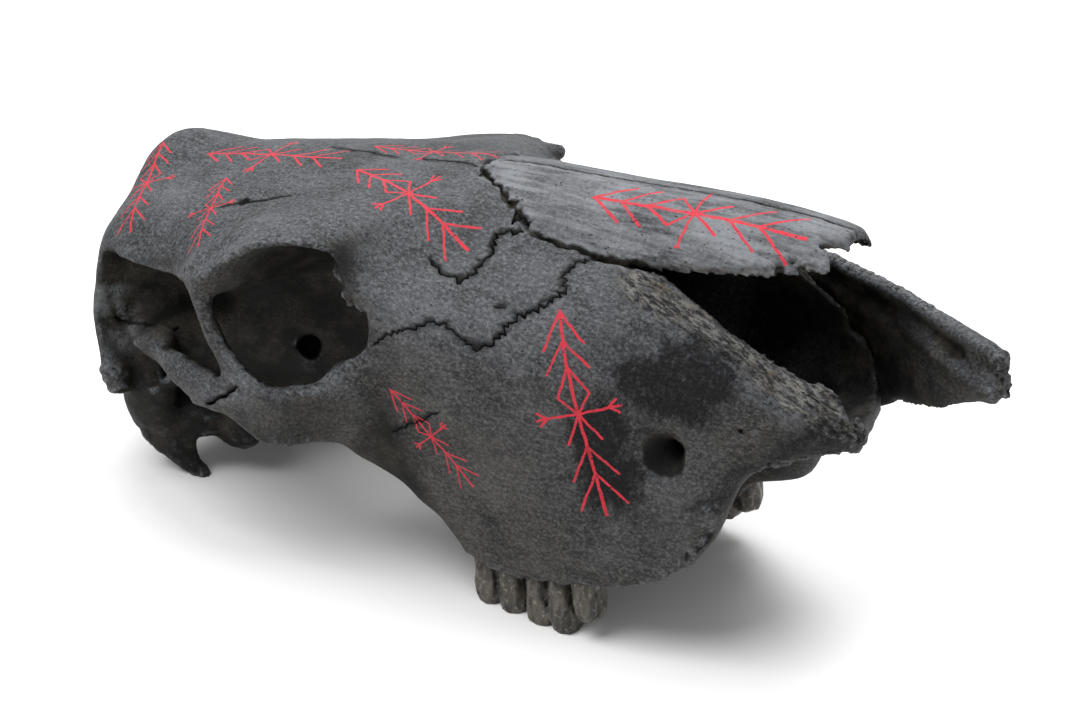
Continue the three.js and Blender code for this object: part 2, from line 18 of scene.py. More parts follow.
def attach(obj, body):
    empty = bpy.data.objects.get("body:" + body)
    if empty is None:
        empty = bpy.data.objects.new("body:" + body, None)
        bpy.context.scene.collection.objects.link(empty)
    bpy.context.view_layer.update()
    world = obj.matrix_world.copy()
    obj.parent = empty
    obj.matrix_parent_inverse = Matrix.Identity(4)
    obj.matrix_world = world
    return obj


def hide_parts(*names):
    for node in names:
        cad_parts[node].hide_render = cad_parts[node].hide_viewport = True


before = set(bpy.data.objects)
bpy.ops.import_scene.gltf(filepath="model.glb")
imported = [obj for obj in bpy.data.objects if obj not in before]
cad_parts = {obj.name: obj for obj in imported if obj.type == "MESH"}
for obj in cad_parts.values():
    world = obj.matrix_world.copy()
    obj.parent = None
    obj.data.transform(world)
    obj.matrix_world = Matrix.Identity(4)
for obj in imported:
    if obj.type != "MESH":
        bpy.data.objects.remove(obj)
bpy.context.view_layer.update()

log = logging.getLogger("skull")

MM = 0.001
# The level skull is turned by PITCH, in radians and snout up, and then shifted by REST_SHIFT, in millimetres.
PITCH = 0.342514343046776
REST_SHIFT = (44.63580413, 0.0, 39.15883946)
# All relief and all the teeth of the sutures are drawn from this number and the ones after it.
SEED = 41
BLOB_CORE = 0.45


class Side(Enum):
    """A side of the animal, as the factor that turns the right side into it."""

    RIGHT = 1
    LEFT = -1


BOTH = (Side.RIGHT, Side.LEFT)
Triple = tuple[float, float, float]
Points = Sequence[Triple]
Feed = Union[bpy.types.NodeSocket, float, Sequence[float]]


def stand(points: Points, side: Side = Side.RIGHT) -> np.ndarray:
    """Turns points measured on the level skull into points on the skull as it rests.

    Args:
        points: Rows of x, y and z in millimetres, on the right side.
        side: The side that they are wanted on.

    Returns:
        Rows of x, y and z in metres.
    """
    level = np.array(points, float).reshape(-1, 3) * (1, side.value, 1)
    c, s = math.cos(PITCH), math.sin(PITCH)
    x = c * level[:, 0] - s * level[:, 2] + REST_SHIFT[0]
    z = s * level[:, 0] + c * level[:, 2] + REST_SHIFT[2]
    return np.stack([x, level[:, 1], z], 1) * MM


def level_out(points: np.ndarray) -> np.ndarray:
    """Turns points on the resting skull back into millimetres on the level skull.

    Args:
        points: Rows of x, y and z in metres.

    Returns:
        Rows of x, y and z in millimetres.
    """
    c, s = math.cos(PITCH), math.sin(PITCH)
    rest = points / MM - REST_SHIFT
    x = c * rest[:, 0] + s * rest[:, 2]
    z = -s * rest[:, 0] + c * rest[:, 2]
    return np.stack([x, rest[:, 1], z], 1)


def line_distance(points: np.ndarray, line: np.ndarray) -> np.ndarray:
    """Measures how far points are from a line of short straight runs.

    Args:
        points: Rows of x, y and z.
        line: Rows of x, y and z along the line.

    Returns:
        One distance for each point.
    """
    best = np.full(len(points), 1e6)
    for a, b in zip(line[:-1], line[1:]):
        span = b - a
        along = np.clip(((points - a) @ span) / (span @ span), 0, 1)
        best = np.minimum(best, np.linalg.norm(points - a - along[:, None] * span, axis=1))
    return best


def fade(value: np.ndarray, none: float, full: float) -> np.ndarray:
    """Rises smoothly from 0 where value is none to 1 where it is full.

    Args:
        value: The values to weigh.
        none: The value that gives 0.
        full: The value that gives 1.

    Returns:
        Weights from 0 to 1.
    """
    t = np.clip((value - none) / (full - none), 0, 1)
    return t * t * (3 - 2 * t)


def blob(points: np.ndarray, centre: Triple, radii: Triple, core: float = BLOB_CORE) -> np.ndarray:
    """Weighs points by how deep they lie in an ellipsoid.

    Args:
        points: Rows of x, y and z.
        centre: The ellipsoid's middle.
        radii: Its three half lengths.
        core: The share of them within which the weight is full.

    Returns:
        Weights from 0 outside to 1 in the middle.
    """
    away = np.linalg.norm((points - centre) / radii, axis=1)
    return fade(away, 1.0, core)


def on_right_side(level: np.ndarray) -> np.ndarray:
    """Folds places of both sides of the level skull over onto its right side."""
    return level * (1, 0, 1) - abs(level) * (0, 1, 0)


def read_array(items: bpy.types.bpy_prop_collection, name: str, width: int = 1, kind: type = np.float32) -> np.ndarray:
    """Reads one property of all the items of a mesh.

    Args:
        items: The mesh's vertices, edges, loops, faces or normals.
        name: The property's name.
        width: How many numbers each item has.
        kind: What kind of numbers they are.

    Returns:
        A row for each item, or a number for each where the width is 1.
    """
    flat = np.empty(len(items) * width, kind)
    items.foreach_get(name, flat)
    return flat.reshape(-1, width) if width > 1 else flat


class Grain:
    """Seeded smooth noise in space, for relief that is worked into a mesh."""

    GAIN = 1.6
    LAYER_SHIFT = 7.3
    LAYER_FALL = 1.8

    def __init__(self, seed: int) -> None:
        """Draws the lattice.

        Args:
            seed: The number that the lattice is drawn from.
        """
        rng = np.random.default_rng(seed)
        self.order = np.tile(rng.permutation(256), 2)
        slopes = rng.normal(size=(256, 3))
        self.slopes = slopes / np.linalg.norm(slopes, axis=1)[:, None]

    def at(self, points: np.ndarray, size: float | tuple) -> np.ndarray:
        """Gives the noise at each point.

        Args:
            points: Rows of x, y and z.
            size: How long one swell is, for all axes or for each.

        Returns:
            Values from about -1 to 1.
        """
        scaled = points / size
        cell = np.floor(scaled).astype(int)
        inner = scaled - cell
        ease = inner**3 * (inner * (inner * 6 - 15) + 10)
        total = np.zeros(len(points))
        for corner in product((0, 1), repeat=3):
            x, y, z = (cell + corner).T & 255
            slope = self.slopes[self.order[self.order[self.order[x] + y] + z]]
            share = np.prod(np.where(np.array(corner, bool), ease, 1 - ease), axis=1)
            total += share * ((inner - corner) * slope).sum(1)
        return total * self.GAIN

    def layered(self, points: np.ndarray, size: float, layers: int = 3) -> np.ndarray:
        """Adds finer and weaker noise to coarse noise.

        Args:
            points: Rows of x, y and z.
            size: How long the coarsest swell is.
            layers: How many sizes are added.

        Returns:
            Values from about -1 to 1.
        """
        shifted = (points + self.LAYER_SHIFT * k * size for k in range(layers))
        return sum(self.at(spots, size / 2**k) / self.LAYER_FALL**k for k, spots in enumerate(shifted)) / self.GAIN


class Skin:
    """A mesh's points and edges as arrays, so that its shape can be worked over in code."""

    def __init__(self, obj: bpy.types.Object) -> None:
        """Reads the mesh.

        Args:
            obj: The object that is worked over.
        """
        self.mesh = obj.data
        size = len(self.mesh.vertices)
        self.points = read_array(self.mesh.vertices, "co", 3).astype(float)
        self.a, self.b = read_array(self.mesh.edges, "vertices", 2, np.int32).T
        self.count = np.maximum(np.bincount(self.a, minlength=size) + np.bincount(self.b, minlength=size), 1)

    def average(self, values: np.ndarray) -> np.ndarray:
        """Gives each vertex the mean of its neighbours' values.

        Args:
            values: A row of values for each vertex.

        Returns:
            Rows of means.
        """
        size = len(self.count)
        sums = [
            np.bincount(self.a, column[self.b], size) + np.bincount(self.b, column[self.a], size)
            for column in values.T
        ]
        return np.stack(sums, 1) / self.count[:, None]

    def relax(self, points: np.ndarray, weight: np.ndarray, passes: int) -> np.ndarray:
        """Draws each point towards its neighbours, a little in each pass.

        Args:
            points: Rows of x, y and z for the vertices.
            weight: How far each vertex gives way, from 0 to 1.
            passes: How often it is done.

        Returns:
            The new rows.
        """
        for _ in range(passes):
            points = points + weight[:, None] * (self.average(points) - points)
        return points

    def settle(self, weight: np.ndarray, passes: int) -> None:
        """Smooths the skin without drawing it in.

        Args:
            weight: How far each vertex gives way, from 0 to 1.
            passes: How often each half of the work is done.
        """
        once = self.relax(self.points, weight, passes)
        self.points = 2 * once - self.relax(once, weight, passes)

    def normals(self) -> np.ndarray:
        """Gives the direction that each vertex faces, from the shape as it is now."""
        self.write()
        return read_array(self.mesh.vertex_normals, "vector", 3).astype(float)

    def depth(self, softness: float, passes: int) -> np.ndarray:
        """Tells hollows from ridges, in millimetres under or over the smoothed shape.

        Args:
            softness: How far each vertex gives way in the smoothing, from 0 to 1.
            passes: How wide a stretch is looked at.

        Returns:
            Values above 0 in hollows and below 0 on ridges.
        """
        wide = self.relax(self.points, np.full(len(self.points), softness), passes)
        return ((wide - self.points) * self.normals()).sum(1) / MM

    def keenness(self, passes: int) -> np.ndarray:
        """Tells edges from broad faces.

        Args:
            passes: How wide a stretch is looked at.

        Returns:
            0 on a flat stretch, and more where the faces turn sharply.
        """
        facing = self.normals()
        for _ in range(passes):
            facing = 0.5 * (facing + self.average(facing))
        return 1 - np.linalg.norm(facing, axis=1)

    def push(self, amount: np.ndarray) -> None:
        """Moves each vertex outwards along its normal.

        Args:
            amount: How far, in metres.
        """
        self.points = self.points + self.normals() * amount[:, None]

    def write(self) -> None:
        """Puts the points back into the mesh."""
        self.mesh.vertices.foreach_set("co", self.points.astype(np.float32).ravel())
        self.mesh.update()

    def store(self, name: str, values: np.ndarray) -> None:
        """Keeps one value for each vertex as a named attribute that a material reads.

        Args:
            name: The attribute's name.
            values: One value for each vertex.
        """
        layer = self.mesh.attributes.new(name, "FLOAT", "POINT")
        layer.data.foreach_set("value", values.astype(np.float32))


class Shelter:
    """Tells how closed in a place on the skull is, by looking out from it past all the solids."""

    RINGS = ((25, 3), (50, 5), (72, 5))
    START = 1.5
    FAR_LOSS = 0.6

    def __init__(self, reach: float = 75.0) -> None:
        """Joins the solids and lays out the ways to look.

        Args:
            reach: How far a look goes, in millimetres.
        """
        bm = bmesh.new()
        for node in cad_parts.values():
            bm.from_mesh(node.data)
        self.tree = BVHTree.FromBMesh(bm)
        bm.free()
        self.reach = reach * MM
        self.looks = []
        for tilt, count in self.RINGS:
            out, up = math.sin(math.radians(tilt)), math.cos(math.radians(tilt))
            for turn in (2 * math.pi * (k + tilt / 90) / count for k in range(count)):
                self.looks.append((out * math.cos(turn), out * math.sin(turn), up))

    def at(self, points: np.ndarray, normals: np.ndarray) -> np.ndarray:
        """Looks out from each point.

        Args:
            points: Rows of x, y and z in metres.
            normals: The way each point faces.

        Returns:
            0 for an open place up to 1 for a closed one.
        """
        side = np.cross(normals, np.where(abs(normals[:, 2:]) < 0.9, (0.0, 0.0, 1.0), (1.0, 0.0, 0.0)))
        side /= np.linalg.norm(side, axis=1)[:, None] + 1e-9
        front = np.cross(normals, side)
        starts = [Vector(p) for p in points + normals * self.START * MM]
        total = np.zeros(len(points))
        for a, b, c in self.looks:
            ways = a * side + b * front + c * normals
            for k, (spot, way) in enumerate(zip(starts, ways)):
                gap = self.tree.ray_cast(spot, Vector(way), self.reach)[3]
                if gap is not None:
                    total[k] += 1.0 - self.FAR_LOSS * gap / self.reach
        return total / len(self.looks)


def new_object(name: str, bm: bmesh.types.BMesh) -> bpy.types.Object:
    """Makes an object that sits at the origin out of a shape, and frees the shape.

    Args:
        name: The name of the object and its mesh.
        bm: The shape.

    Returns:
        The object.
    """
    mesh = bpy.data.meshes.new(name)
    bm.to_mesh(mesh)
    bm.free()
    obj = bpy.data.objects.new(name, mesh)
    bpy.context.scene.collection.objects.link(obj)
    return obj


def merged_copy(node: str, name: str) -> bpy.types.Object:
    """Copies a node's solid and joins its loose faces into one closed skin.

    Args:
        node: The solid's name.
        name: The new piece's name.

    Returns:
        The new piece.
    """
    bm = bmesh.new()
    bm.from_mesh(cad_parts[node].data)
    bmesh.ops.remove_doubles(bm, verts=bm.verts, dist=1e-6)
    return new_object(name, bm)


def apply_modifiers(obj: bpy.types.Object) -> None:
    """Works an object's modifiers into its mesh.

    Args:
        obj: The object.
    """
    depsgraph = bpy.context.evaluated_depsgraph_get()
    finished = bpy.data.meshes.new_from_object(obj.evaluated_get(depsgraph))
    obj.modifiers.clear()
    old = obj.data
    obj.data = finished
    bpy.data.meshes.remove(old)


def revoxel(obj: bpy.types.Object, size: float) -> None:
    """Gives a closed skin an even mesh of small faces.

    Args:
        obj: The piece.
        size: How wide a face is, in millimetres.
    """
    remesh = obj.modifiers.new("EvenSkin", "REMESH")
    remesh.mode = "VOXEL"
    remesh.voxel_size = size * MM
    apply_modifiers(obj)


@dataclass(frozen=True)
class Lobe:
    """A rounded lobe on the level skull, in millimetres."""

    centre: Triple
    radii: Triple
    sides: tuple[Side, ...] = BOTH

    def weigh(self, points: np.ndarray) -> np.ndarray:
        """Weighs points by how deep they lie in it."""
        return blob(points, self.centre, self.radii)


@dataclass(frozen=True)
class Groove:
    """A long groove on the level skull, in millimetres, or a ridge where its height is above 0."""

    line: Points
    width: float
    height: float
    core: float = 0.3

    def lift(self, points: np.ndarray) -> np.ndarray:
        """Gives how far it moves each point outwards."""
        away = line_distance(points, np.array(self.line, float))
        return self.height * fade(away, self.width, self.width * self.core)


@dataclass(frozen=True)
class VesselHole:
    """A small round hole for a vessel on the level skull, in millimetres."""

    centre: Triple
    way: Triple
    radius: float
    depth: float = 14.0
    taper: float = 0.6

    def add_drill(self, bm: bmesh.types.BMesh, side: Side) -> None:
        """Adds the cone that drills the hole.

        Args:
            bm: The mesh that collects the cones.
            side: The side of the skull.
        """
        wide, narrow = self.radius * MM, self.radius * self.taper * MM
        made = bmesh.ops.create_cone(
            bm, cap_ends=True, segments=14, radius1=wide, radius2=narrow, depth=self.depth * MM
        )
        inwards = Vector((self.way[0], self.way[1] * side.value, self.way[2]))
        turn = inwards.to_track_quat("Z", "X").to_matrix().to_4x4()
        place = Matrix.Translation(Vector(stand([self.centre], side)[0]))
        bmesh.ops.transform(bm, matrix=place @ turn, verts=made["verts"])


def add_lobes(obj: bpy.types.Object, lobes: Sequence[Lobe]) -> None:
    """Adds rounded lobes to a piece, before its mesh is evened.

    Args:
        obj: The piece.
        lobes: The lobes.
    """
    bm = bmesh.new()
    bm.from_mesh(obj.data)
    turn = Matrix.Rotation(-PITCH, 4, "Y")
    for lobe, side in ((lobe, side) for lobe in lobes for side in lobe.sides):
        made = bmesh.ops.create_icosphere(bm, subdivisions=3, radius=1.0)
        shape = Matrix.Diagonal([r * MM for r in lobe.radii]).to_4x4()
        place = Matrix.Translation(Vector(stand([lobe.centre], side)[0]))
        bmesh.ops.transform(bm, matrix=place @ turn @ shape, verts=made["verts"])
    bm.to_mesh(obj.data)
    bm.free()


def thin_out(obj: bpy.types.Object, triangles: int) -> None:
    """Leaves out faces where the skin is nearly flat.

    Args:
        obj: The piece.
        triangles: How many triangles it may keep.
    """
    obj.data.calc_loop_triangles()
    have = len(obj.data.loop_triangles)
    if have > triangles:
        decimate = obj.modifiers.new("Thin", "DECIMATE")
        decimate.ratio = triangles / have
        apply_modifiers(obj)


def finish_piece(obj: bpy.types.Object, nodes: Sequence[str], material: bpy.types.Material) -> None:
    """Smooths a piece's shading, gives it its material and puts it in place of its solids.

    Args:
        obj: The piece.
        nodes: The solids that it stands for.
        material: Its material.
    """
    obj.data.shade_smooth()
    obj.data.materials.clear()
    obj.data.materials.append(material)
    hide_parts(*nodes)
    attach(obj, "root")
    log.info("%s: %d faces", obj.name, len(obj.data.polygons))


OPEN_SUTURES = (
    (((-21, 0, 136), (-20, -14, 134), (-7, -20, 129), (1, -25, 123), (5, -27, 119), (12, -32, 112)), 1.0),
    (((12, -32, 112), (18, -33, 108), (41, -32, 99), (74, -30, 94), (105, -26, 88)), 0.45),
)
SUTURE_REACH = (4.5, 1.2)
SUTURE_TOOTH = 3.4
SUTURE_SWING = 1.9
WARP_GRAIN = Grain(SEED + 5)


def ragged_sutures(points: np.ndarray) -> np.ndarray:
    """Shifts the bone beside the open sutures to and fro, alike on both sides of the gap.

    Args:
        points: Rows of x, y and z on the resting skull, in metres.

    Returns:
        The shifted rows.
    """
    level = level_out(points)
    near = np.zeros(len(level))
    for line, share in OPEN_SUTURES:
        away = line_distance(on_right_side(level), np.array(line, float))
        near = np.maximum(near, share * fade(away, *SUTURE_REACH))
    chosen = near > 0.01
    spots = level[chosen]
    shift = np.stack([WARP_GRAIN.at(spots + 31.0 * k, SUTURE_TOOTH) for k in range(3)], 1)
    level[chosen] += shift * (near[chosen] * SUTURE_SWING)[:, None]
    return stand(level)


@dataclass(frozen=True)
class Crack:
    """A jagged open line in the bone, in millimetres on the level skull."""

    line: Points
    width: float = 0.8
    depth: float = 3.0
    jag: float = 1.1
    step: float = 1.7
    sides: tuple[Side, ...] = BOTH

    UNEVEN = 0.3
    TURN_CHANCE = 0.72
    LEAST_SWING = 0.1
    CLEARANCE = 2.0

    def path(self, side: Side, skin: BVHTree, rng: np.random.Generator) -> list[tuple[Vector, Vector]]:
        """Follows the line over the bone in uneven teeth.

        Args:
            side: The side of the skull.
            skin: The bone's surface.
            rng: Where the teeth are drawn from.

        Returns:
            The points on the bone, each with the way the bone faces there.
        """
        line = stand(self.line, side)
        found = []
        sign = 1
        for a, b in zip(line[:-1], line[1:]):
            length = np.linalg.norm(b - a)
            steps = max(1, round(length / (self.step * MM)))
            for k in range(steps):
                slip = rng.uniform(-self.UNEVEN, self.UNEVEN)
                spot = skin.find_nearest(Vector(a + (b - a) * (k + slip) / steps))
                across = Vector(b - a).normalized().cross(spot[1])
                sign = -sign if rng.random() < self.TURN_CHANCE else sign
                swing = sign * self.jag * rng.uniform(self.LEAST_SWING, 1.0) * MM
                near = skin.find_nearest(spot[0] + across * swing)
                found.append((near[0], near[1]))
        found.append(skin.find_nearest(Vector(line[-1]))[:2])
        return found

    @staticmethod
    def between(path: list[tuple[Vector, Vector]]) -> list[Vector]:
        """Gives close points along a path."""
        return [a.lerp(b, k / 4) for (a, _), (b, _) in zip(path[:-1], path[1:]) for k in range(4)]

    def blade(self, bm: bmesh.types.BMesh, side: Side, skin: BVHTree, rng: np.random.Generator) -> list[Vector]:
        """Adds a thin folded blade that cuts the crack.

        Args:
            bm: The mesh that collects the blades.
            side: The side of the skull.
            skin: The bone's surface.
            rng: Where the teeth are drawn from.

        Returns:
            Points along the crack.
        """
        path = self.path(side, skin, rng)
        one = bmesh.new()
        row = [one.verts.new(at + up * self.CLEARANCE * MM) for at, up in path]
        edges = [one.edges.new(pair) for pair in zip(row[:-1], row[1:])]
        made = bmesh.ops.extrude_edge_only(one, edges=edges)["geom"]
        for vert in (g for g in made if isinstance(g, bmesh.types.BMVert)):
            at, up = min(path, key=lambda p: (p[0] + p[1] * self.CLEARANCE * MM - vert.co).length_squared)
            vert.co = at - up * self.depth * MM
        bmesh.ops.recalc_face_normals(one, faces=one.faces)
        one.normal_update()
        bmesh.ops.solidify(one, geom=one.faces[:], thickness=self.width * MM)
        bmesh.ops.recalc_face_normals(one, faces=one.faces)
        mesh = bpy.data.meshes.new("blade")
        one.to_mesh(mesh)
        one.free()
        bm.from_mesh(mesh)
        bpy.data.meshes.remove(mesh)
        return self.between(path)


def cut(obj: bpy.types.Object, tool: bpy.types.Object) -> None:
    """Cuts one closed shape out of another and removes the cutter.

    Args:
        obj: The piece that is cut.
        tool: The shape that is taken out of it.
    """
    boolean = obj.modifiers.new("Cut", "BOOLEAN")
    boolean.operation = "DIFFERENCE"
    boolean.solver = "MANIFOLD"
    boolean.object = tool
    before = len(obj.data.polygons)
    apply_modifiers(obj)
    bpy.data.objects.remove(tool)
    log.info("cut: %d faces before, %d after", before, len(obj.data.polygons))


class Nodes:
    """A short way to lay out and join shader nodes."""

    def __init__(self, tree: bpy.types.NodeTree) -> None:
        """Takes the tree that the nodes go into."""
        self.tree = tree

    def add(self, kind: str, settings: dict | None = None, **inputs: Feed) -> bpy.types.Node:
        """Adds a node.

        Args:
            kind: The node's type.
            settings: Its own options.
            inputs: Its sockets, by name with underscores for spaces or as n0, n1 and so on, each with a value or
                another node's output.

        Returns:
            The node.
        """
        node = self.tree.nodes.new(kind)
        for key, value in (settings or {}).items():
            setattr(node, key, value)
        for key, value in inputs.items():
            numbered = key[0] == "n" and key[1:].isdigit()
            self.join(value, node.inputs[int(key[1:]) if numbered else key.replace("_", " ")])
        return node

    def join(self, value: Feed, socket: bpy.types.NodeSocket) -> None:
        """Links an output to a socket, or sets the socket's own value.

        Args:
            value: Another node's output, or a plain value.
            socket: The socket that takes it.
        """
        if isinstance(value, bpy.types.NodeSocket):
            self.tree.links.new(value, socket)
        else:
            socket.default_value = value

    def math(self, operation: str, a: Feed, b: Feed = 0.0, clamp: bool = False) -> bpy.types.NodeSocket:
        """Works out a sum of two values and gives its output."""
        node = self.add("ShaderNodeMath", {"operation": operation, "use_clamp": clamp}, n0=a, n1=b)
        return node.outputs[0]

    def times(self, a: Feed, b: Feed) -> bpy.types.NodeSocket:
        """Multiplies two values."""
        return self.math("MULTIPLY", a, b)

    def vector(self, operation: str, a: Feed, b: Feed = (0, 0, 0)) -> bpy.types.Node:
        """Works on two vectors and gives the node."""
        return self.add("ShaderNodeVectorMath", {"operation": operation}, n0=a, n1=b)

    def ramp(self, value: Feed, stops: Sequence[tuple[float, float]]) -> bpy.types.NodeSocket:
        """Maps a value through grey stops.

        Args:
            value: The value from 0 to 1.
            stops: Pairs of a place and the value there.

        Returns:
            The mapped value.
        """
        node = self.add("ShaderNodeValToRGB", Fac=value)
        while len(node.color_ramp.elements) < len(stops):
            node.color_ramp.elements.new(0.5)
        for element, (place, level) in zip(node.color_ramp.elements, stops):
            element.position = place
            element.color = (level, level, level, 1)
        return node.outputs["Color"]

    def stretch(self, vector: Feed, scale: Triple) -> bpy.types.NodeSocket:
        """Scales a place by a factor for each axis."""
        return self.add("ShaderNodeMapping", Vector=vector, Scale=scale).outputs[0]

    def noise(self, vector: Feed, scale: float, detail: float = 3, roughness: float = 0.55) -> bpy.types.NodeSocket:
        """Gives a noise value from 0 to 1."""
        node = self.add("ShaderNodeTexNoise", Vector=vector, Scale=scale, Detail=detail, Roughness=roughness)
        return node.outputs["Fac"]

    def cells(self, vector: Feed, scale: float) -> bpy.types.NodeSocket:
        """Gives the distance to the nearest of many scattered points."""
        node = self.add("ShaderNodeTexVoronoi", Vector=vector, Scale=scale, Randomness=1.0)
        return node.outputs["Distance"]

    def mix(self, share: Feed, a: Feed, b: Feed, kind: str = "MIX") -> bpy.types.NodeSocket:
        """Mixes two colours.

        Args:
            share: How much of the second colour there is.
            a: The first colour.
            b: The second colour.
            kind: How they mix.

        Returns:
            The mixed colour.
        """
        node = self.add("ShaderNodeMix", {"data_type": "RGBA", "blend_type": kind})
        self.join(share, node.inputs[0])
        self.join(a, node.inputs[6])
        self.join(b, node.inputs[7])
        return node.outputs[2]

    def attribute(self, name: str) -> bpy.types.NodeSocket:
        """Reads one of the piece's own values."""
        return self.add("ShaderNodeAttribute", {"attribute_name": name}).outputs["Fac"]


def new_material(name: str) -> tuple[bpy.types.Material, Nodes, bpy.types.Node]:
    """Starts a material.

    Args:
        name: The material's name.

    Returns:
        The material, its nodes helper and its shader.
    """
    material = bpy.data.materials.new(name)
    material.use_nodes = True
    return material, Nodes(material.node_tree), material.node_tree.nodes["Principled BSDF"]


def new_group(name: str, inputs: Sequence[tuple[str, str]], outputs: Sequence[tuple[str, str]]) -> tuple:
    """Starts a shader node group with named sockets.

    Args:
        name: The group's name.
        inputs: The name and the socket type of each input.
        outputs: The same for each output.

    Returns:
        The group, its nodes helper, its input node and its output node.
    """
    group = bpy.data.node_groups.new(name, "ShaderNodeTree")
    for direction, sockets in (("INPUT", inputs), ("OUTPUT", outputs)):
        for label, kind in sockets:
            group.interface.new_socket(label, in_out=direction, socket_type=kind)
    nodes = Nodes(group)
    return group, nodes, nodes.add("NodeGroupInput"), nodes.add("NodeGroupOutput")


FLOAT, VECTOR = "NodeSocketFloat", "NodeSocketVector"


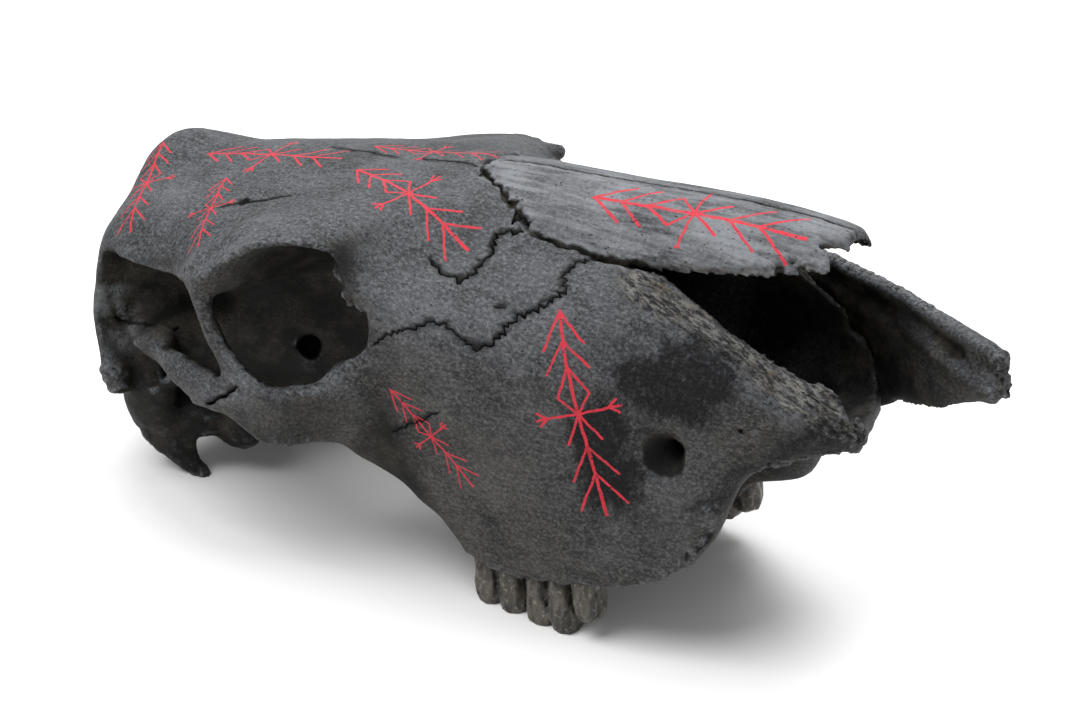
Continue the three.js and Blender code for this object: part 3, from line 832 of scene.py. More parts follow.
class SharedEffects:
    """The node groups that more than one material uses."""

    cloud_scale: float = 34.0
    fibre_scale: float = 820.0
    streak_scale: float = 330.0
    strand_scale: float = 800.0
    pore_scale: float = 560.0
    pit_scale: float = 300.0
    fibre_height: float = 0.55
    streak_height: float = 0.3
    pore_depth: float = 0.8
    strand_height: float = 2.6
    band_slope: float = math.radians(21.4)
    stem_half_width: float = 0.0022
    stroke_wobble: float = 0.016
    stroke_fraying: float = 0.006
    stroke_sharpness: float = 420.0
    strokes: tuple[tuple, ...] = (
        ((0.0, 0.0), (0.165, 0.1)),
        ((0.135, 0.0), (0.28, 0.105)),
        ((0.26, 0.0), (0.4, 0.08)),
        ((0.4, 0.08), (0.49, 0.0)),
        ((0.49, 0.0), (0.485, 0.17)),
        ((0.485, 0.155), (0.452, 0.2)),
        ((0.485, 0.155), (0.487, 0.212)),
        ((0.485, 0.155), (0.518, 0.2)),
        ((0.49, 0.0), (0.63, 0.085)),
        ((0.655, 0.0), (0.81, 0.115)),
        ((0.79, 0.0), (0.96, 0.12)),
    )

    def __init__(self) -> None:
        """Builds each group once."""
        self.grain = self.bone_grain()
        self.stroke = self.stroke_distance()
        self.arrow = self.arrow_mark()

    def bone_grain(self) -> bpy.types.NodeTree:
        """Makes the fine fibres, pores and clouds of weathered bone.

        Returns:
            The group, which gives clouds, fibres, streaks, strands, pores and a height.
        """
        group, nodes, start, end = new_group(
            "BoneGrain",
            [("Vector", VECTOR), ("Pits", FLOAT), ("Fibre", FLOAT)],
            [(label, FLOAT) for label in ("Clouds", "Fibres", "Streaks", "Strands", "Pores", "Height")],
        )
        place = start.outputs["Vector"]
        fibre = start.outputs["Fibre"]
        clouds = nodes.noise(place, self.cloud_scale, 4, 0.6)
        stretched = nodes.stretch(place, (0.75, 1.0, 1.0))
        fibres = nodes.noise(stretched, self.fibre_scale, 4, 0.8)
        streaks = nodes.noise(nodes.stretch(place, (0.09, 1.0, 1.0)), self.streak_scale, 4, 0.62)
        turned = nodes.add("ShaderNodeVectorRotate", {"rotation_type": "Y_AXIS"}, Vector=place, Angle=-self.band_slope)
        strands = nodes.noise(nodes.stretch(turned.outputs[0], (0.3, 1.0, 1.0)), self.strand_scale, 4, 0.75)
        pores = nodes.ramp(nodes.cells(stretched, self.pore_scale), [(0.06, 1.0), (0.25, 0.0)])
        gate = nodes.ramp(nodes.noise(place, 150, 2), [(0.42, 0.0), (0.62, 1.0)])
        big = nodes.cells(nodes.stretch(place, (0.5, 1.0, 1.3)), self.pit_scale)
        pits = nodes.times(nodes.ramp(big, [(0.1, 1.0), (0.34, 0.0)]), start.outputs["Pits"])
        all_pores = nodes.math("MAXIMUM", nodes.times(pores, gate), pits)
        height = nodes.times(fibres, self.fibre_height)
        height = nodes.math("ADD", height, nodes.times(streaks, self.streak_height))
        height = nodes.math("SUBTRACT", height, nodes.times(all_pores, self.pore_depth))
        height = nodes.math("ADD", height, nodes.times(strands, nodes.times(fibre, self.strand_height)))
        for socket, value in zip(end.inputs, (clouds, fibres, streaks, strands, all_pores, height)):
            nodes.join(value, socket)
        return group

    def stroke_distance(self) -> bpy.types.NodeTree:
        """Makes the distance from a point to one straight stroke.

        Returns:
            The group.
        """
        group, nodes, start, end = new_group(
            "StrokeDistance",
            [("Point", VECTOR), ("Start", VECTOR), ("Span", VECTOR), ("Per Square", FLOAT)],
            [("Distance", FLOAT)],
        )
        away = nodes.vector("SUBTRACT", start.outputs["Point"], start.outputs["Start"]).outputs["Vector"]
        along = nodes.vector("DOT_PRODUCT", away, start.outputs["Span"]).outputs["Value"]
        share = nodes.math("MULTIPLY", along, start.outputs["Per Square"], clamp=True)
        scaled = nodes.add("ShaderNodeVectorMath", {"operation": "SCALE"}, n0=start.outputs["Span"], Scale=share)
        rest = nodes.vector("SUBTRACT", away, scaled.outputs["Vector"]).outputs["Vector"]
        nodes.join(nodes.vector("LENGTH", rest).outputs["Value"], end.inputs["Distance"])
        return group

    def arrow_mark(self) -> bpy.types.NodeTree:
        """Makes the red mark: a stem with arrow heads, a lozenge, a forked cross bar and legs.

        Returns:
            The group, which gives the paint's mask from the mark's own flat coordinates.
        """
        group, nodes, start, end = new_group(
            "ArrowMark", [("Place", VECTOR), ("Half Width", FLOAT)], [("Mask", FLOAT)]
        )
        place = start.outputs["Place"]
        wobble = nodes.add("ShaderNodeTexNoise", Vector=place, Scale=14.0, Detail=2.0).outputs["Color"]
        shift = nodes.vector("SUBTRACT", wobble, (0.5, 0.5, 0.5)).outputs["Vector"]
        small = nodes.add("ShaderNodeVectorMath", {"operation": "SCALE"}, n0=shift, Scale=self.stroke_wobble)
        moved = nodes.vector("ADD", place, small.outputs["Vector"]).outputs["Vector"]
        parts = nodes.add("ShaderNodeSeparateXYZ", Vector=moved)
        across = nodes.math("ABSOLUTE", parts.outputs["Y"])
        flat = nodes.add("ShaderNodeCombineXYZ", X=parts.outputs["X"], Y=across).outputs[0]
        before_tip = nodes.times(parts.outputs["X"], -1.0)
        beyond = nodes.math("MAXIMUM", before_tip, nodes.math("SUBTRACT", parts.outputs["X"], 1.0))
        nearest = nodes.math("MAXIMUM", nodes.math("SUBTRACT", across, self.stem_half_width), beyond)
        for (x0, y0), (x1, y1) in self.strokes:
            span = (x1 - x0, y1 - y0, 0.0)
            one = nodes.add(
                "ShaderNodeGroup",
                {"node_tree": self.stroke},
                Point=flat,
                Start=(x0, y0, 0.0),
                Span=span,
                Per_Square=1 / (span[0] ** 2 + span[1] ** 2),
            ).outputs["Distance"]
            nearest = nodes.math("MINIMUM", nearest, one)
        ragged = nodes.times(nodes.math("SUBTRACT", nodes.noise(place, 90, 2), 0.5), self.stroke_fraying)
        edge = nodes.math("SUBTRACT", nearest, ragged)
        over = nodes.math("SUBTRACT", start.outputs["Half Width"], edge)
        nodes.join(nodes.math("MULTIPLY", over, self.stroke_sharpness, clamp=True), end.inputs["Mask"])
        return group


@dataclass(frozen=True)
class BoneFinish:
    """Dark dyed bone: matt, porous and blue grey, browner where it is closed in, with painted shade there, on its
    sides and in its creases, painted highlights on ridges and a painted sheen behind the brow.
    """

    name: str
    tone: Triple = (0.01, 0.0106, 0.012)
    light_tone: Triple = (0.118, 0.122, 0.131)
    speck_tone: Triple = (0.2, 0.206, 0.217)
    brown: Triple = (0.055, 0.049, 0.036)
    shade: Triple = (0.0035, 0.0034, 0.003)
    fibre_tone: Triple = (0.21, 0.203, 0.185)
    stain: Triple = (0.075, 0.05, 0.026)
    # Painted highlight on ridges, partly edge wear.
    ridge_wear_and_highlight_tone: Triple = (0.15, 0.157, 0.17)
    # Near black, for the soot and for painted shade in creases, vessel holes and along the open sutures.
    soot_and_painted_shade_tone: Triple = (0.003, 0.0032, 0.0036)
    paint: Triple = (0.5, 0.03, 0.047)
    # Painted shade on faces that turn sideways or down.
    painted_side_shade_tone: Triple = (0.7, 0.65, 0.58)
    # Painted sheen: a lighter grey for the glossy patch behind the brow.
    painted_sheen_tone: Triple = (0.11, 0.113, 0.115)
    clouded: float = 0.38
    streaked: float = 0.14
    half_width: float = 0.0072
    sheen: float = 0.13
    roughness: float = 0.5
    light_roughening: float = 0.14
    gloss_smoothing: float = 0.3
    bump: float = 0.75
    bump_distance: float = 0.0011

    def build(self, effects: SharedEffects) -> bpy.types.Material:
        """Makes the material.

        Args:
            effects: The shared node groups.

        Returns:
            The material.
        """
        material, nodes, shader = new_material(self.name)
        place = nodes.add("ShaderNodeTexCoord").outputs["Object"]
        pits, fibre = nodes.attribute("pits"), nodes.attribute("fibre")
        group = {"node_tree": effects.grain}
        grain = nodes.add("ShaderNodeGroup", group, Vector=place, Pits=pits, Fibre=fibre).outputs
        light = self.lightness(nodes, grain)
        colour = nodes.mix(light, (*self.tone, 1), (*self.light_tone, 1))
        specks = nodes.ramp(grain["Fibres"], [(0.55, 0.0), (0.74, 0.6)])
        colour = nodes.mix(specks, colour, (*self.speck_tone, 1))
        # Painted shade: faces that turn sideways or down are multiplied darker than faces that look up.
        painted_side_shade = nodes.mix(nodes.attribute("top"), (*self.painted_side_shade_tone, 1), (1, 1, 1, 1))
        colour = nodes.mix(1.0, colour, painted_side_shade, "MULTIPLY")
        # Painted shade: closed in places are darkened, with brown mottles.
        colour = self.painted_hollow_shade(nodes, place, grain, colour)
        # Painted sheen: the glossy patch behind the brow is broken up and painted a lighter grey, as well as made
        # smoother.
        painted_sheen_breakup = nodes.ramp(nodes.noise(place, 75, 5, 0.7), [(0.44, 0.0), (0.62, 1.0)])
        colour = nodes.mix(nodes.times(nodes.attribute("gloss"), painted_sheen_breakup), colour, (*self.painted_sheen_tone, 1))
        colour = self.banded(nodes, place, grain, colour)
        colour = nodes.mix(self.burnt(nodes, place, grain), colour, (*self.soot_and_painted_shade_tone, 1))
        # Ridges are painted lighter: a painted highlight, partly edge wear.
        edge = nodes.times(nodes.attribute("ridge"), nodes.ramp(grain["Fibres"], [(0.38, 0.0), (0.6, 1.0)]))
        colour = nodes.mix(edge, colour, (*self.ridge_wear_and_highlight_tone, 1))
        # Pores go near black, and so does painted shade in creases, in vessel holes and along the open sutures.
        dark = nodes.math("MAXIMUM", nodes.times(grain["Pores"], 0.85), nodes.attribute("hollow"))
        colour = nodes.mix(dark, colour, (*self.soot_and_painted_shade_tone, 1))
        colour = nodes.mix(self.painted(nodes, place, grain, effects), colour, (*self.paint, 1))
        nodes.join(colour, shader.inputs["Base Color"])
        rough = nodes.math("ADD", nodes.times(light, self.light_roughening), self.roughness)
        rough = nodes.math("SUBTRACT", rough, nodes.times(nodes.attribute("gloss"), self.gloss_smoothing))
        nodes.join(rough, shader.inputs["Roughness"])
        bump = nodes.add("ShaderNodeBump", Height=grain["Height"], Strength=self.bump, Distance=self.bump_distance)
        nodes.join(bump.outputs["Normal"], shader.inputs["Normal"])
        shader.inputs["Specular IOR Level"].default_value = self.sheen
        return material

    def lightness(self, nodes: Nodes, grain: bpy.types.NodeOutputs) -> bpy.types.NodeSocket:
        """Weighs the dye's light and dark parts from clouds, grain and streaks.

        Args:
            nodes: The material's nodes.
            grain: The bone grain's outputs.

        Returns:
            0 for dark up to 1 for light.
        """
        clouds = nodes.ramp(grain["Clouds"], [(0.34, 0.0), (0.66, 1.0)])
        fibres = nodes.ramp(grain["Fibres"], [(0.43, 0.0), (0.58, 1.0)])
        streaks = nodes.ramp(grain["Streaks"], [(0.42, 0.0), (0.58, 1.0)])
        grained = 1.0 - self.clouded - self.streaked
        rest = nodes.math("ADD", nodes.times(clouds, self.clouded), nodes.times(fibres, grained))
        return nodes.math("ADD", rest, nodes.times(streaks, self.streaked))

    def painted_hollow_shade(self, nodes: Nodes, place: Feed, grain: bpy.types.NodeOutputs, colour: Feed) -> bpy.types.NodeSocket:
        """Paints shade into the closed in parts: darkens them, with brown mottles.

        Args:
            nodes: The material's nodes.
            place: The place on the object.
            grain: The bone grain's outputs.
            colour: The colour so far.

        Returns:
            The new colour.
        """
        mottle = nodes.ramp(nodes.noise(place, 62, 5, 0.68), [(0.46, 0.0), (0.74, 1.0)])
        mottle = nodes.times(mottle, nodes.ramp(grain["Fibres"], [(0.36, 0.3), (0.6, 1.0)]))
        inner = nodes.mix(mottle, (*self.shade, 1), (*self.brown, 1))
        return nodes.mix(nodes.attribute("closed"), colour, inner)

    def banded(self, nodes: Nodes, place: Feed, grain: bpy.types.NodeOutputs, colour: Feed) -> bpy.types.NodeSocket:
        """Lays pale strands and brown stains over the rough band.

        Args:
            nodes: The material's nodes.
            place: The place on the object.
            grain: The bone grain's outputs.
            colour: The colour so far.

        Returns:
            The new colour.
        """
        fibre = nodes.attribute("fibre")
        strands = nodes.ramp(grain["Strands"], [(0.45, 0.0), (0.58, 1.0)])
        stained = nodes.ramp(nodes.noise(place, 90, 3), [(0.5, 0.0), (0.66, 0.8)])
        pale = nodes.mix(stained, (*self.fibre_tone, 1), (*self.stain, 1))
        colour = nodes.mix(nodes.times(fibre, 0.7), colour, (*self.tone, 1))
        share = nodes.times(nodes.times(fibre, strands), 0.9)
        return nodes.mix(share, colour, pale)

    def burnt(self, nodes: Nodes, place: Feed, grain: bpy.types.NodeOutputs) -> bpy.types.NodeSocket:
        """Weighs the sooty patches, with broken, streaky borders.

        Args:
            nodes: The material's nodes.
            place: The place on the object.
            grain: The bone grain's outputs.

        Returns:
            0 for clean bone up to 1 for soot.
        """
        noise = nodes.noise(nodes.stretch(place, (1.0, 1.0, 0.6)), 420, 4, 0.8)
        streaks = nodes.times(nodes.math("SUBTRACT", noise, 0.5), 2.2)
        patch = nodes.attribute("burn")
        wide = nodes.math("ADD", patch, nodes.times(streaks, nodes.ramp(patch, [(0.02, 0.0), (0.3, 1.0)])))
        soot = nodes.ramp(wide, [(0.1, 0.0), (0.9, 1.0)])
        return nodes.times(soot, nodes.ramp(grain["Fibres"], [(0.42, 1.0), (0.62, 0.84)]))

    def painted(
        self, nodes: Nodes, place: Feed, grain: bpy.types.NodeOutputs, effects: SharedEffects
    ) -> bpy.types.NodeSocket:
        """Weighs the red paint of the arrow marks, thin in places and over pores.

        Args:
            nodes: The material's nodes.
            place: The place on the object.
            grain: The bone grain's outputs.
            effects: The shared node groups.

        Returns:
            0 for bare bone up to 1 for paint.
        """
        marks = nodes.add("ShaderNodeUVMap", {"uv_map": "Marks"}).outputs["UV"]
        arrow = nodes.add("ShaderNodeGroup", {"node_tree": effects.arrow}, Place=marks, Half_Width=self.half_width)
        thin = nodes.ramp(nodes.noise(place, 240, 4, 0.7), [(0.3, 0.55), (0.52, 1.0)])
        thin = nodes.times(thin, nodes.ramp(grain["Pores"], [(0.0, 1.0), (0.7, 0.25)]))
        return nodes.times(arrow.outputs["Mask"], thin)


@dataclass(frozen=True)
class ToothFinish:
    """Brown stained enamel with pale flecks, darkened in its grooves by painted shade."""

    name: str
    enamel: Triple = (0.085, 0.074, 0.058)
    pale: Triple = (0.27, 0.25, 0.21)
    stain: Triple = (0.012, 0.0105, 0.008)
    roughness: float = 0.42
    bump: float = 0.5
    bump_distance: float = 0.0006

    def build(self, effects: SharedEffects) -> bpy.types.Material:
        """Makes the material.

        Args:
            effects: The shared node groups.

        Returns:
            The material.
        """
        material, nodes, shader = new_material(self.name)
        place = nodes.add("ShaderNodeTexCoord").outputs["Object"]
        grain = nodes.add("ShaderNodeGroup", {"node_tree": effects.grain}, Vector=place, Pits=0.0, Fibre=0.0)
        streaks = nodes.noise(nodes.stretch(place, (1, 1, 0.22)), 420, 4, 0.6)
        colour = nodes.mix(nodes.ramp(streaks, [(0.38, 0.0), (0.62, 1.0)]), (*self.stain, 1), (*self.enamel, 1))
        flecks = nodes.ramp(nodes.noise(place, 520, 3, 0.7), [(0.56, 0.0), (0.68, 1.0)])
        colour = nodes.mix(nodes.times(flecks, 0.6), colour, (*self.pale, 1))
        # Painted shade darkens the tooth's grooves.
        colour = nodes.mix(nodes.attribute("hollow"), colour, (*self.stain, 1))
        nodes.join(colour, shader.inputs["Base Color"])
        shader.inputs["Roughness"].default_value = self.roughness
        height = nodes.math("ADD", nodes.times(streaks, 0.8), grain.outputs["Height"])
        bump = nodes.add("ShaderNodeBump", Height=height, Strength=self.bump, Distance=self.bump_distance)
        nodes.join(bump.outputs["Normal"], shader.inputs["Normal"])
        return material


@dataclass(frozen=True)
class ArrowPlace:
    """Where a painted mark lies on the resting skull in millimetres: its tip, its foot and the way it faces."""

    tip: Triple
    foot: Triple
    facing: Triple
    reach: float = 0.25
    sides: tuple[Side, ...] = (Side.RIGHT,)


MARKS = (
    ArrowPlace((47.4, -53.2, 130.2), (78.7, -60.5, 58.6), (0.22, -0.96, 0.17), sides=BOTH),
    ArrowPlace((-12.4, -76.8, 87.7), (22.2, -67.7, 54.4), (0.1, -0.98, -0.1), sides=BOTH),
    ArrowPlace((-133.7, -34.6, 133.0), (-109.0, -78.7, 121.4), (-0.3, -0.42, 0.86), 0.4, BOTH),
    ArrowPlace((35.3, -15.5, 162.0), (124.7, -13.3, 167.8), (-0.06, -0.42, 0.9), 0.17),
    ArrowPlace((-71.5, -25.6, 149.4), (-0.8, -45.7, 139.4), (0.1, -0.3, 0.95)),
    ArrowPlace((-190.3, -12.4, 130.0), (-160.5, -63.5, 110.0), (-0.31, -0.5, 0.8)),
    ArrowPlace((-163.5, -12.3, 130.9), (-88.0, -15.4, 147.5), (-0.2, -0.15, 0.97)),
    ArrowPlace((-83.2, 1.0, 150.1), (-24.4, 4.5, 159.7), (-0.13, 0.0, 0.99)),
)


def paint_marks(obj: bpy.types.Object) -> None:
    """Gives the faces under each painted mark the mark's own flat coordinates, on both sides of the skull.

    Args:
        obj: The finished piece of bone.
    """
    mesh = obj.data
    centre, normal = read_array(mesh.polygons, "center", 3), read_array(mesh.polygons, "normal", 3)
    owner = np.repeat(np.arange(len(mesh.polygons)), read_array(mesh.polygons, "loop_total", 1, np.int32))
    co = read_array(mesh.vertices, "co", 3)[read_array(mesh.loops, "vertex_index", 1, np.int32)]
    coords = np.full((len(mesh.loops), 2), -10.0)
    for mark in MARKS:
        for side in mark.sides:
            flip = np.array((1, side.value, 1))
            tip, foot = np.array(mark.tip) * MM * flip, np.array(mark.foot) * MM * flip
            length = np.linalg.norm(foot - tip)
            along = (foot - tip) / length
            up = np.array(mark.facing) * flip
            up = up - (up @ along) * along
            up /= np.linalg.norm(up)
            across = np.cross(up, along)
            off = centre - tip
            u, v, w = off @ along / length, off @ across / length, off @ up / length
            inside = (u > -0.08) & (u < 1.08) & (abs(v) < mark.reach) & (abs(w) < 0.4) & (normal @ up > 0.25)
            chosen = inside[owner]
            rest = co[chosen] - tip
            coords[chosen] = np.stack([rest @ along / length, rest @ across / length], 1)
    layer = mesh.uv_layers.new(name="Marks")
    layer.data.foreach_set("uv", coords.astype(np.float32).ravel())


@dataclass
class Cranium:
    """The skull's main bone with its sutures, rims and broken edges."""

    voxel: float = 1.25
    triangles: int = 190_000
    sutures: tuple[Crack, ...] = (
        Crack(
            (
                (10, -34, 112), (5, -35, 113), (0, -37, 113), (-1, -41, 109), (-1, -44, 106),
                (-4, -50, 103), (-7, -56, 100), (-11, -56, 102), (-16, -56, 105), (-21, -55, 110),
            ),
            0.7, 4.0, 1.5, 1.3,
        ),
        Crack(
            (
                (38, -35, 100), (34, -38, 99), (30, -43, 96), (33, -47, 92), (30, -52, 88),
                (24, -55, 87), (16, -59, 85), (10, -64, 80), (3, -68, 76),
            ),
            0.6, 3.2, 2.0, 1.4,
        ),
        Crack(
            (
                (3, -68, 76), (0, -69, 78), (-4, -69, 82), (-9, -69, 87),
                (-15, -70, 89), (-20, -74, 88), (-26, -76, 88), (-32, -78, 87),
            ),
            0.45, 2.0, 1.1, 1.3,
        ),
        Crack(((-39, -79, 84), (-34, -79, 86), (-32, -78, 87)), 0.6, 2.0, 0.5, 1.4),
        Crack(
            ((-44, -74, 47), (-39, -74, 48), (-35, -73, 50), (-30, -73, 51), (-24, -74, 53), (-19, -74, 54)),
            0.5, 2.0, 0.7, 1.8, (Side.RIGHT,),
        ),
        Crack(
            ((-89, -48, 140), (-94, -50, 140), (-98, -52, 140), (-103, -53, 140), (-111, -54, 141)),
            0.8, 2.5, 0.4, 2.5,
        ),
        Crack(((-111, -54, 141), (-116, -55, 140), (-123, -57, 140)), 0.5, 1.5, 0.3, 2.5),
        Crack(
            ((-187, -69, 101), (-183, -65, 98), (-179, -63, 97), (-174, -62, 94), (-167, -62, 92), (-160, -60, 92)),
            1.0, 4.0, 0.4, 3.0,
        ),
        Crack(((-118, -96, 69), (-112, -96, 71), (-105, -95, 73), (-101, -93, 75)), 1.3, 5.0, 0.5, 2.5),
        Crack(((-104, -3, 150), (-89, -6, 148), (-74, -8, 145), (-62, -9, 143)), 0.4, 1.5, 0.5, 2.4, (Side.RIGHT,)),
        Crack(((-54, -8, 141), (-42, -8, 139), (-31, -9, 137), (-23, -10, 135)), 0.5, 1.8, 0.6, 2.2, (Side.RIGHT,)),
        Crack(((3, -26.5, 121), (7, -29.5, 116), (12, -33, 112)), 4.2, 6.0, 0.5, 2.5),
        Crack(((8, -59, 90), (12, -58, 89)), 0.5, 1.5, 0.2, 1.5, (Side.RIGHT,)),
    )
    lobes: tuple[Lobe, ...] = (
        Lobe((-47, -72.3, 112), (8.5, 2.6, 9), (Side.RIGHT,)),
        Lobe((-44, -75, 103), (7.5, 2.8, 6.5), (Side.RIGHT,)),
        Lobe((-54, -80, 122.5), (8, 4, 5), (Side.LEFT,)),
        Lobe((-163, -72, 91), (12, 8, 6)),
        Lobe((-54, -72, 72), (17, 9, 6)),
        Lobe((-79, -86, 67.8), (18, 5, 4.6)),
    )
    grooves: tuple[Groove, ...] = (
        Groove(((14, -33, 111), (28, -32.5, 105), (41, -32, 100.5)), 2.2, -1.6),
        Groove(((41, -32, 100), (52, -32, 97), (64, -31.5, 93.5), (76, -31, 90)), 3.6, -4.0),
        Groove(((-104, -91, 74), (-94, -93, 75), (-84, -92, 73), (-72, -90, 73), (-60, -88, 77)), 2.6, 0.7),
    )
    holes: tuple[VesselHole, ...] = (
        VesselHole((-111, -54, 141), (0.25, 0.5, -0.8), 3.0),
        VesselHole((-177, -60, 117), (0.3, 0.95, 0.0), 2.6, 12.0),
        VesselHole((93, -41, 32), (0.0, 1.0, 0.0), 1.3),
    )
    brow_edge: tuple[tuple[float, float], ...] = (
        (-190, 132), (-185, 130), (-170, 126), (-153, 121), (-134, 118), (-129, 115),
    )
    temple_depth: float = 8.5
    cheek_hole: tuple[Triple, Triple] = ((63, -50, 26), (8, 18, 8.5))
    cheek_hole_core: float = 0.35
    cheek_hole_depth: float = 9.0
    arch_swelling: tuple[Triple, Triple] = ((-58, -83, 76), (16, 9, 8))
    arch_lift: float = 1.8
    swell_height: float = 0.65
    ripple_height: float = 0.12
    pit_height: float = 0.75
    pit_depth: float = 0.1
    strand_height: float = 1.6
    knob_height: float = 2.0
    break_height: float = 3.3
    break_depth: float = 0.4
    base_height: float = 1.6
    grain: Grain = field(default_factory=lambda: Grain(SEED))

    def start(self) -> bpy.types.Object:
        """Copies the solid, adds the thin lobes that jut into the eye sockets and evens the mesh.

        Returns:
            The bone, not yet smoothed.
        """
        obj = merged_copy("cranium", "dressed_cranium")
        add_lobes(obj, self.lobes)
        revoxel(obj, self.voxel * 1.25)
        skin = Skin(obj)
        self.sculpt(skin)
        skin.write()
        revoxel(obj, self.voxel)
        return obj

    def sculpt(self, skin: Skin) -> None:
        """Hollows the temple under the brow's edge and widens the hole in the upper jaw.

        Args:
            skin: The bone's points.
        """
        level = level_out(skin.points)
        hand = np.where(level[:, 1] < 0, 1.0, -1.0)
        places = on_right_side(level)
        x, y, z = places.T
        brow = np.interp(x, *zip(*self.brow_edge))
        temple = fade(brow - z, 0.6, 4.0) * fade(z, 92, 103) * fade(x, -190, -184) * fade(x, -128, -150)
        inward = self.temple_depth * temple * fade(y, -40, -50)
        inward += self.cheek_hole_depth * blob(places, *self.cheek_hole, core=self.cheek_hole_core)
        level[:, 1] += inward * hand
        level[:, 2] += self.arch_lift * blob(places, *self.arch_swelling)
        skin.points = stand(level)

    def drill(self, obj: bpy.types.Object) -> None:
        """Drills the small holes for vessels over the eye socket, in the temple and in the upper jaw.

        Args:
            obj: The bone.
        """
        bm = bmesh.new()
        for side, hole in product(Side, self.holes):
            hole.add_drill(bm, side)
        cut(obj, new_object("drill", bm))

    def smooth(self, skin: Skin) -> None:
        """Rounds the solid's facets off where the bone is broad, and hardly at its edges.

        Args:
            skin: The bone's points.
        """
        keen = skin.keenness(14)
        weight = 0.05 + 0.75 * fade(keen, 0.17, 0.07)
        skin.settle(weight, 60)
        skin.settle(np.full(len(weight), 0.5), 3)

    def relief(self, skin: Skin) -> None:
        """Works swells, pits, fibres and knobs into the surface.

        Args:
            skin: The bone's points.
        """
        level, normals = folded(skin)
        masks = SurfaceMasks(level, normals)
        push = self.grain.layered(level, 26.0, 3) * self.swell_height
        push += self.grain.layered(level + 90, 6.0, 2) * self.ripple_height
        push += masks.pits() * (self.grain.layered(level, 2.6, 2) * self.pit_height - self.pit_depth)
        push += masks.fibre() * self.grain.at(level @ masks.fibre_turn(), (12.0, 2.4, 2.4)) * self.strand_height
        push += masks.knobs() * abs(self.grain.at(level, 5.0)) * self.knob_height
        push += masks.broken() * (self.grain.layered(level, 5.0, 4) * self.break_height - self.break_depth)
        push += masks.base() * self.grain.layered(level + 20, 9.0, 3) * self.base_height
        for groove in self.grooves:
            push += groove.lift(level)
        skin.push(push * MM)
        skin.points = ragged_sutures(skin.points)

    def open_sutures(self, obj: bpy.types.Object) -> list[Vector]:
        """Cuts the open sutures with thin folded blades.

        Args:
            obj: The bone.

        Returns:
            Points along the sutures.
        """
        bm = bmesh.new()
        bm.from_mesh(obj.data)
        surface = BVHTree.FromBMesh(bm)
        bm.free()
        rng = np.random.default_rng(SEED)
        blades = bmesh.new()
        cracks = []
        for crack in self.sutures:
            for side in crack.sides:
                cracks += crack.blade(blades, side, surface, rng)
        cut(obj, new_object("blades", blades))
        return cracks

    def build(self, material: bpy.types.Material, shelter: Shelter) -> bpy.types.Object:
        """Makes the piece.

        Args:
            material: The bone's material.
            shelter: Tells how closed in a place is.

        Returns:
            The piece.
        """
        obj = self.start()
        skin = Skin(obj)
        self.smooth(skin)
        self.relief(skin)
        skin.write()
        cracks = self.open_sutures(obj)
        self.drill(obj)
        thin_out(obj, self.triangles)
        rest_on_floor(obj)
        dress_bone(obj, shelter, cracks)
        finish_piece(obj, ["cranium"], material)
        return obj


